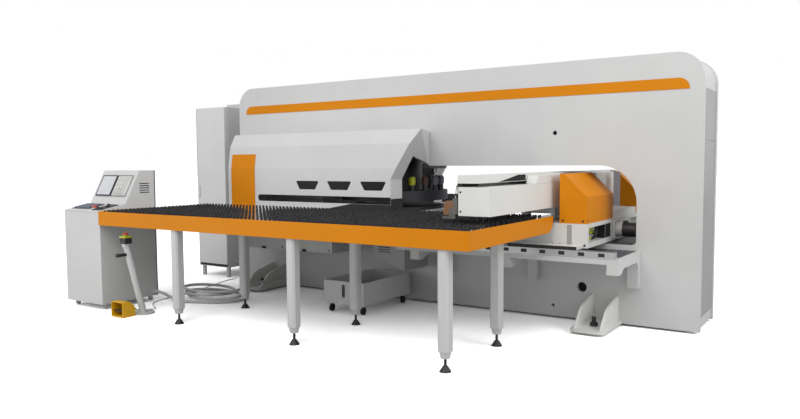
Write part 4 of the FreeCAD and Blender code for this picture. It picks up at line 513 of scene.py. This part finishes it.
def loop_point(index, floor, rise):
    """A point of the conduit's loose loops, which differ in size and fan out."""
    lap = index / LAP_STEPS
    angle = 2 * math.pi * (lap - 0.19)
    swell = 1 + 0.13 * math.sin(2.3 * lap + 0.4)
    return (LOOP_X + LOOP_WIDE * swell * math.cos(angle) + 0.046 * math.sin(1.9 * lap),
            LOOP_Y + LOOP_DEEP * swell * math.sin(angle) + 0.034 * math.sin(2.7 * lap),
            floor + rise * lap)


def conduit_route():
    """From the console's side to the floor, round the loops and back to the frame."""
    x, y, z = -1.983, -1.627, 0.096
    frame_y = -0.270
    floor, rise = CONDUIT_THICK / 2 + 0.0005, CONDUIT_THICK + 0.005
    route = [(x, y, z), (x + 0.090, y, z), (x + 0.180, y + 0.008, z - 0.034),
             (x + 0.280, y + 0.034, floor + 0.012), (x + 0.392, y + 0.084, floor + 0.002)]
    route += [loop_point(index, floor, rise) for index in range(LAPS * LAP_STEPS + 3)]
    leave, high = LOOP_X + LOOP_WIDE * 0.93 - 0.010, floor + rise * LAPS + 0.034
    return route + [
        (leave + 0.034, LOOP_Y + 0.095, high - 0.014), (leave + 0.012, -0.960, high - 0.004),
        (leave + 0.004, -0.750, high), (leave + 0.010, -0.540, high),
        (leave, frame_y - 0.140, high), (leave, frame_y - 0.022, high)]


def pedal_route():
    """From the pedal's guard to the plug at the post's foot."""
    x, y, z = -1.722, -2.324 + 0.134 - 0.030, 0.024
    plug_x, plug_y, seat = -1.590 - 0.064, -2.080, 0.014 + LEAD_THICK / 2 + 0.003
    return [(x, y, z), (x - 0.078, y, z), (x - 0.138, y + 0.070, 0.016),
            (x - 0.128, plug_y + 0.020, 0.010), (x - 0.050, plug_y + 0.066, 0.014),
            (plug_x - 0.074, plug_y, seat), (plug_x, plug_y, seat)]


def cabinet_route():
    """From the cabinet's foot over the floor to the control post."""
    x, y, z, low = -2.430 + 0.022, -0.120, 0.190, 0.005
    post_x, post_y, post_z = -1.587, -2.000, 0.021
    over_floor = ((0.130, 0.150), (0.100, 0.240), (0.130, 0.300), (0.160, 0.420),
                  (0.210, 0.540), (0.240, 0.660), (0.300, 0.780), (0.320, 0.900),
                  (0.380, 1.020), (0.400, 1.140), (0.430, 1.260), (0.420, 1.380),
                  (0.440, 1.500), (0.500, 1.610), (0.600, 1.690))
    return ([(x, y, z), (x + 0.090, y, z), (x + 0.150, y - 0.040, z - 0.110)]
            + [(x + right, y - ahead, low) for right, ahead in over_floor]
            + [(x + 0.690, y - 1.740, low + 0.006), (post_x, post_y + 0.060, post_z),
               (post_x, post_y, post_z)])


def make_cords():
    """The conduit with its pile of loops, the pedal lead and the white lead."""
    conduit, pedal, lead = conduit_route(), pedal_route(), cabinet_route()
    cord("console_conduit", conduit, CONDUIT_THICK, "hose", "conduit")
    cord("pedal_cord", pedal, LEAD_THICK, "rubber", "pedal_lead")
    cord("cabinet_cord", lead, LEAD_THICK, "white_lead", "cabinet_lead")
    for name, start, way, thick, coat, slot in (
            ("conduit_relief_console", conduit[0], RIGHT, CONDUIT_THICK, "hose", "grey_hose"),
            ("conduit_relief_frame", conduit[-1], FRONT, CONDUIT_THICK, "rubber",
             "rubber_black"),
            ("pedal_relief_guard", pedal[0], LEFT, LEAD_THICK, "rubber", "rubber_black"),
            ("pedal_relief_plug", pedal[-1], LEFT, LEAD_THICK, "rubber", "rubber_black"),
            ("lead_relief_cabinet", lead[0], RIGHT, LEAD_THICK, "pale_plastic", "white_lead"),
            ("lead_relief_plug", lead[-1], BACK, LEAD_THICK, "pale_plastic", "white_lead")):
        make_relief(name, start, way, thick, coat)


def make_relief(name, start, way, thick, coat):
    """A tapered, ribbed sleeve where a cord enters a housing."""
    def build(bm):
        half, rings = thick / 2, [(0.0, thick * 0.52)]
        for rib in range(5):
            near, size = rib * thick * 0.36, half * (1.42 - 0.07 * rib)
            rings += [(near + 0.0004, size), (near + thick * 0.2, size * 0.985),
                      (near + thick * 0.21, size * 0.86), (near + thick * 0.35, size * 0.86)]
        rings.append((thick * 1.95, half * 1.03))
        add_lathe(bm, start, way, rings, 20)
    mesh_piece(name, build, "machine", coat, smooth=True)


# ------------------------------------------------------------------------ bristles
def tuft_places():
    """The square grid of tufts on both decks, clear of the hoods."""
    rows, columns = 31, 84
    first_x, first_y = -1.954, -2.244 + TUFT_PITCH
    hood_right, hood_front = 0.440, -0.930
    deck_right, deck_back = 1.862, -0.780
    places = []
    for row in range(rows):
        y = first_y + TUFT_PITCH * row
        for column in range(columns):
            x = first_x + TUFT_PITCH * column
            clear = y < hood_front or x > hood_right
            if clear and x < deck_right and y < deck_back:
                places.append((x, y))
    return places + [(x, mirrored(y)) for x, y in places]


def make_bristles():
    """Single tufts in a square grid, each a splayed bundle with a ragged top."""
    loose_from, stray, lean, tip_drop = 0.2, 0.004, 0.0015, 0.004
    verts, faces = [], []
    for x, y in tuft_places():
        base, loose = len(verts), stray * (x > loose_from)
        x, y = x + random.uniform(-loose, loose), y + random.uniform(-loose, loose)
        lean_x, lean_y = random.uniform(-lean, lean), random.uniform(-lean, lean)
        for top, (height, radius) in enumerate((TUFT_FOOT, TUFT_TIP)):
            for k in range(TUFT_SIDES):
                angle = 2 * math.pi * (k + 0.5 * top) / TUFT_SIDES
                ragged = random.uniform(0.86, 1.1) if top else 1.0
                drop = random.uniform(0, tip_drop) if top else 0.0
                verts.append((x + lean_x * top + radius * ragged * math.cos(angle),
                              y + lean_y * top + radius * ragged * math.sin(angle),
                              height - drop))
        tip = len(verts)
        verts.append((x + lean_x, y + lean_y, TUFT_MIDDLE_Z))
        for k in range(TUFT_SIDES):
            a, b = base + k, base + (k + 1) % TUFT_SIDES
            faces.append((a, b, b + TUFT_SIDES, a + TUFT_SIDES))
            faces.append((a + TUFT_SIDES, b + TUFT_SIDES, tip))
    data = bpy.data.meshes.new("bristle_tufts")
    data.from_pydata(verts, [], faces)
    piece = link("bristle_tufts", data, "machine", "bristle")
    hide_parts("brush_rows")


# --------------------------------------------------------------------- small trim
def add_slab(bm, panel, x, s, t):
    """A flat block on a slanted panel: x across, s up the panel, t off its face.

    A panel is the (y, z) of its lower edge, of the way up it and of the way off it.
    """
    origin, along, out = panel
    add_block(bm, [(a, origin[0] + along[0] * b + out[0] * c,
                    origin[1] + along[1] * b + out[1] * c) for a, b, c in product(x, s, t)])


def panel_frame(bm, panel, x, s, t, width):
    """Four strips round a rectangle on a slanted panel."""
    inner = (x[0] + width, x[1] - width)
    for across, up in (((x[0], inner[0]), s), ((inner[1], x[1]), s),
                       (inner, (s[0], s[0] + width)), (inner, (s[1] - width, s[1]))):
        add_slab(bm, panel, across, up, t)


def make_console_trim():
    """Display glass, dark bezels, the dark desk panel with its knobs, and the seams."""
    tower = ((-1.941, 1.000), (0.4645, 0.8856), (-0.8856, 0.4645))
    desk = ((-2.222, 0.948), (0.9832, 0.1820), (-0.1820, 0.9832))
    panel_x, panel_s = (-2.180, -2.046), (0.034, 0.243)

    def glass(bm):
        add_slab(bm, tower, (-2.520, -2.309), (0.093, 0.298), (0.0108, 0.0126))
    mesh_piece("console_display", glass, "machine", "display", 0.0006)

    def bezels(bm):
        panel_frame(bm, tower, (-2.530, -2.299), (0.083, 0.307), (0.0100, 0.0145), 0.006)
        panel_frame(bm, tower, (-2.285, -2.050), (0.081, 0.309), (0.0060, 0.0115), 0.004)
    mesh_piece("console_bezels", bezels, "machine", "dark_plastic", 0.001)

    def desk_plate(bm):
        add_slab(bm, desk, panel_x, panel_s, (0.0002, 0.0032))
        panel_frame(bm, desk, panel_x, panel_s, (0.003, 0.0062), 0.006)
    mesh_piece("desk_panel", desk_plate, "machine", "black_plastic", 0.0008)

    def knobs(bm):
        origin, along, out = desk
        profile = ((0.002, 0.019), (0.006, 0.019), (0.007, 0.0135), (0.020, 0.0120),
                   (0.022, 0.0095))
        for x, s in ((-2.150, 0.085), (-2.095, 0.150), (-2.150, 0.200), (-2.080, 0.075)):
            centre = (x, origin[0] + along[0] * s, origin[1] + along[1] * s)
            add_lathe(bm, centre, (0, *out), profile, 20)
    mesh_piece("desk_knobs", knobs, "machine", "black_plastic")

    seams = [((-2.5755, -2.2225, 0.9345), (-2.0065, -2.2215, 0.9365))]
    seams += [((x, -2.20, 0.075), (x + 0.0005, -1.62, 0.0765)) for x in (-2.5772, -2.0053)]
    box_piece("console_seams", seams, "machine", "grey")


def make_holes():
    """Near-black discs at the back of the holes in the front plate: painted shade for the holes'
    dark insides.
    """
    plate_front = -0.2325

    def build(bm):
        for x, z, radius in ((1.723, 1.638, 0.0198), (1.981, 0.300, 0.0428),
                             (1.721, 0.114, 0.0138)):
            add_lathe(bm, (x, plate_front, z), FRONT,
                      ((0, radius), (0.001, radius), (0.0015, radius * 0.5)), 28)
    mesh_piece("hole_painted_shade", build, "machine", "hole")


def add_screw(bm, centre, way, radius, high):
    """A low hexagon screw head over its washer."""
    washer = high * 0.25
    add_lathe(bm, centre, way, ((0, radius * 1.5), (washer, radius * 1.5)), 18)
    add_lathe(bm, Vector(centre) + Vector(way) * washer, way,
              ((0, radius), (high * 0.65, radius), (high * 0.75, radius * 0.86)), 6)


def make_screws():
    """Dark screws on the covers, the saddle, the beam and the brackets, and painted shade in the
    saddle's seam pocket.
    """
    small, lower_cover_front, end_cover_thick, bracket_top = 0.006, -0.7101, 0.0062, 0.024

    def fixed(bm):
        for x, z in product((-1.660, -1.100, -0.470), (0.510, 0.790)):
            add_screw(bm, (x, lower_cover_front, z), FRONT, small, 0.006)
        for x, way in ((-2.130, LEFT), (2.920, RIGHT)):
            face = x + way[0] * end_cover_thick
            for z, y in product((1.50, 1.60, 1.93, 0.16), (-0.175, 0.255)):
                add_screw(bm, (face, y, z), way, small, 0.005)
        for x, side, y in product((-1.535, 2.185), (-0.055, 0.055), (-0.330, -0.420)):
            for place in (y, mirrored(y)):
                add_screw(bm, (x + side, place, bracket_top), UP, 0.013, 0.014)
    mesh_piece("fixed_screws", fixed, "machine", "black")

    def riding(bm):
        saddle_front, saddle_side, beam_front, high = -0.7622, 2.1782, -1.8802, 0.004
        for x in (1.560, 1.900, 1.960, 2.165):
            add_screw(bm, (x, saddle_front, 0.722), FRONT, small, high)
        for z in (1.045, 1.180):
            add_screw(bm, (1.657, beam_front, z), FRONT, 0.005, high)
        for y in (-0.72, -0.10):
            add_screw(bm, (saddle_side, y, 0.915), RIGHT, small, high)
        for x in (1.985, 2.150):
            add_screw(bm, (x, saddle_front, 0.915), FRONT, small, high)
    mesh_piece("saddle_screws", riding, "saddle_unit", "black")
    # A grey strip in the seam pocket on the saddle's front: painted shade in that shallow
    # recess.
    box_piece("saddle_seam", [((2.0200, -0.7590, 0.7140), (2.0580, -0.7582, 0.8790))],
              "saddle_unit", "grey")


def make_saddle_trim():
    """What shows in and on the saddle: the pocket's fittings, the shroud and the risers, with
    painted shade over the pocket and painted shadow beside the tray.
    """
    # Near-black sheets and ribs over the saddle's pocket: painted shade for its dark inside.
    pocket_shade = [((2.1002, -0.3130, 0.7420), (2.1886, -0.3124, 0.8580)),
              ((2.1886, -0.3090, 0.7450), (2.1896, -0.1650, 0.8620))]
    pocket_shade += [((2.1890, -0.3050, 0.7530 + 0.018 * rib), (2.1920, -0.1690, 0.7590 + 0.018 * rib))
               for rib in range(6)]
    box_piece("pocket_painted_shade", pocket_shade, "saddle_unit", "hole")
    valve = [((2.1000, -0.5600, 0.8280), (2.1300, -0.4300, 0.8420)),
             ((2.1000, -0.5000, 0.7920), (2.1250, -0.4000, 0.8060)),
             ((2.1000, -0.5000, 0.7920), (2.1200, -0.4840, 0.8300)),
             ((2.1000, -0.5600, 0.7480), (2.1300, -0.5000, 0.7660))]
    box_piece("pocket_valve", valve, "saddle_unit", "lime", 0.002)
    for index, (y, rise) in enumerate(((-0.455, 0.050), (-0.425, 0.068), (-0.400, 0.040))):
        tube("pocket_hose_%d" % (index + 1), [
            (2.120, y, 0.7405), (2.135, y, 0.762), (2.150, y + 0.020, 0.760 + rise),
            (2.140, y + 0.040, 0.762 + rise), (2.118, y + 0.065, 0.800),
            (2.1060, y + 0.070, 0.780)], 0.007, "saddle_unit")
    box_piece("cover_shroud", [((1.9600, 0.6975, 0.8960), (2.0220, 0.6995, 1.2850))],
              "saddle_unit", "lilac", 0.0006)

    def both_sides(outline, ends):
        """One prism to each side; the outline holds (distance from the middle, z)."""
        def build(bm):
            for side in (-1, 1):
                add_prism(bm, [(MIDDLE_Y + side * far, z) for far, z in outline], ends)
        return build
    risers = ((1.105, 1.2155), (1.070, 1.2830), (0.360, 1.2830), (0.360, 1.2155))
    mesh_piece("beam_risers", both_sides(risers, (1.795, 1.881)), "saddle_unit", "white",
               0.003)
    # A near-black sheet on each side of the tray, in the outline of the shadow there: painted
    # shadow.
    tray_shadow_outline = ((1.590, 1.2440), (1.100, 1.2440), (1.100, 1.2900), (1.240, 1.2900),
                (1.440, 1.2620))
    mesh_piece("tray_side_painted_shadow", both_sides(tray_shadow_outline, (1.7902, 1.7912)), "saddle_unit",
               "hole")


def make_hood_lip():
    """A black brush seal under the front hood's mouth, beside the turret."""
    pitch, thick, foot = 0.006, 0.0052, 0.9325
    left, front, back = -0.420, -0.9050, -0.9024
    strands = []
    for step in range(139):
        x = left + pitch * step
        top = min(1.003, 0.934 + 0.18 * (x - left))
        strands.append(((x, front, foot), (x + thick, back, top)))
    for step in range(32):
        y = back + pitch * step
        strands.append(((0.4122, y, foot), (0.4146, y + thick, 1.0570)))
    box_piece("hood_brush_seal", strands, "machine", "bristle")


def make_way_covers():
    """Dark dust covers on the ledges between the rails and on the throat's floor."""
    foot, sheet, fold = 0.6434, 0.6454, 0.6470
    boxes = []
    for side in (-1, 1):
        boxes.append(((0.480, MIDDLE_Y + side * 0.315, foot),
                      (2.440, MIDDLE_Y + side * 0.790, sheet)))
        for step in range(32):
            x = 0.500 + 0.060 * step
            boxes.append(((x, MIDDLE_Y + side * 0.320, sheet),
                          (x + 0.020, MIDDLE_Y + side * 0.785, fold)))
    boxes.append(((0.560, -0.266, 0.6904), (2.396, 0.346, 0.6920)))
    box_piece("way_covers", boxes, "machine", "dark_plastic")


def make_rail_pockets():
    """Dark clamp screws let into the outer faces of the rails."""
    first, pitch, wide = 0.583, 0.158, 0.050
    faces = ((-0.9128, -0.9116), (0.9916, 0.9928))
    boxes = [((first + pitch * index, low, 0.660), (first + pitch * index + wide, high, 0.688))
             for index in range(12) for low, high in faces]
    box_piece("rail_pockets", boxes, "machine", "black", 0.0004)


def make_cover_clips():
    """Black clips along the lower edge of the cover under the deck."""
    front = -0.7135

    def build(bm):
        for x in (-1.395, -0.830):
            add_box(bm, (x, front, 0.478), (x + 0.060, -0.7095, 0.506))
            add_lathe(bm, (x + 0.030, front, 0.494), FRONT,
                      ((0, 0.008), (0.004, 0.008), (0.005, 0.006)), 14)
    mesh_piece("cover_clips", build, "machine", "black", 0.0008)


def make_cabinet_seams():
    """The dark reveals beside and below the cabinet's front panel."""
    box_piece("cabinet_seams", [((-2.9390, -0.2352, 0.1650), (-2.9160, -0.2342, 2.0600)),
                                ((-2.9140, -0.2348, 0.1460), (-2.4340, -0.2342, 0.1600))],
              "machine", "black")


def make_lever_grip():
    """The dark grip over the post's side lever."""
    def build(bm):
        add_lathe(bm, (-1.6535, -2.3040, 0.560), BACK, (
            (0.0, 0.0125), (0.003, 0.0172), (0.030, 0.0175), (0.036, 0.0155), (0.064, 0.0150),
            (0.099, 0.0158), (0.101, 0.0130)), 20)
    mesh_piece("lever_grip", build, "machine", "black_plastic", smooth=True)


def make_clamp_pipes():
    """Formed air pipes from each clamp's back to the carriage, with their unions."""
    clamp_x, bar_x, foot, seat = 1.5545, 1.5810, 1.146, 1.1301
    pairs = ((0.022, 0.160), (0.068, 0.120))     # each pipe's start and end along the clamp
    profile = ((0, 0.0065), (0.010, 0.0065), (0.0105, 0.005), (0.018, 0.005))
    for index, low in enumerate((-1.780, -1.110, -0.440)):
        def unions(bm, low=low):
            for x, y in ((clamp_x, 0.022), (clamp_x, 0.068), (bar_x, 0.120), (bar_x, 0.160)):
                add_lathe(bm, (x, low + y, seat), UP, profile, 6)
        mesh_piece("clamp_unions_%d" % (index + 1), unions, "clamp_bar", "steel")
        for side, (start, end) in enumerate(pairs):
            rise = 0.070 - 0.020 * side
            tube("clamp_pipe_%d_%d" % (index + 1, side + 1), [
                (clamp_x, low + start, foot), (clamp_x, low + start, foot + rise),
                (1.5640, low + start + 0.020, 1.160 + rise),
                (1.5760, low + end - 0.016, 1.158 + rise), (bar_x, low + end, foot + rise),
                (bar_x, low + end, foot)], 0.0035, "clamp_bar")


# ----------------------------------------------------------------------------- set
def make_stage():
    """A pale floor that the camera sees as white, with soft shadows."""
    bm = bmesh.new()
    bmesh.ops.create_grid(bm, x_segments=1, y_segments=1, size=60)
    data = bpy.data.meshes.new("studio_floor")
    bm.to_mesh(data)
    bm.free()
    floor = bpy.data.objects.new("studio_floor", data)
    floor.location.z = -0.0005
    scene.collection.objects.link(floor)
    material = bpy.data.materials.new("studio_floor")
    material.use_nodes = True
    tree = material.node_tree
    tree.nodes.clear()
    out = tree.nodes.new("ShaderNodeOutputMaterial")
    path = tree.nodes.new("ShaderNodeLightPath")
    shade = blend_colours(tree, path.outputs["Is Camera Ray"], (0.55, 0.55, 0.55),
                          (2.0, 2.0, 2.0))
    matte = add_node(tree, "ShaderNodeBsdfDiffuse", Color=shade)
    tree.links.new(matte.outputs["BSDF"], out.inputs["Surface"])
    data.materials.append(material)


def make_world():
    """White to the eye and in reflections, and a softer fill light on the object."""
    world = bpy.data.worlds.new("studio")
    scene.world = world
    world.use_nodes = True
    tree = world.node_tree
    tree.nodes.clear()
    out = tree.nodes.new("ShaderNodeOutputWorld")
    back = add_node(tree, "ShaderNodeBackground", Color=(1, 1, 1, 1))
    path = tree.nodes.new("ShaderNodeLightPath").outputs
    seen = math_node(tree, "MAXIMUM", path["Is Camera Ray"], path["Is Glossy Ray"])
    seen = math_node(tree, "MAXIMUM", seen, path["Is Transmission Ray"])
    vary(tree, back, "Strength", seen, 0.64, 1.0)
    tree.links.new(back.outputs["Background"], out.inputs["Surface"])


def make_lights():
    """Three soft area lights."""
    for name, place, target, size, power, shine in (
            ("key", (1.5, -7.0, 6.5), (0, 0, 1.0), 5.0, 290, 1.0),
            ("side", (7.5, -1.5, 4.0), (1.5, 0, 1.0), 4.0, 160, 1.0),
            ("low", (-4.5, -6.0, 0.9), (-1.0, 0, 0.4), 2.5, 55, 0.2)):
        data = bpy.data.lights.new(name, "AREA")
        data.specular_factor = shine
        data.energy = power
        data.size = size
        lamp = bpy.data.objects.new(name, data)
        lamp.location = place
        aim = Vector(target) - Vector(place)
        lamp.rotation_euler = aim.to_track_quat("-Z", "Y").to_euler()
        scene.collection.objects.link(lamp)


make_camera()
finishes = make_materials()
make_cords()
coat_nodes()
make_bristles()
make_console_trim()
make_holes()
make_screws()
make_saddle_trim()
make_hood_lip()
make_way_covers()
make_rail_pockets()
make_cover_clips()
make_cabinet_seams()
make_lever_grip()
make_clamp_pipes()
make_stage()
make_world()
make_lights()
scene.view_settings.view_transform = "Standard"
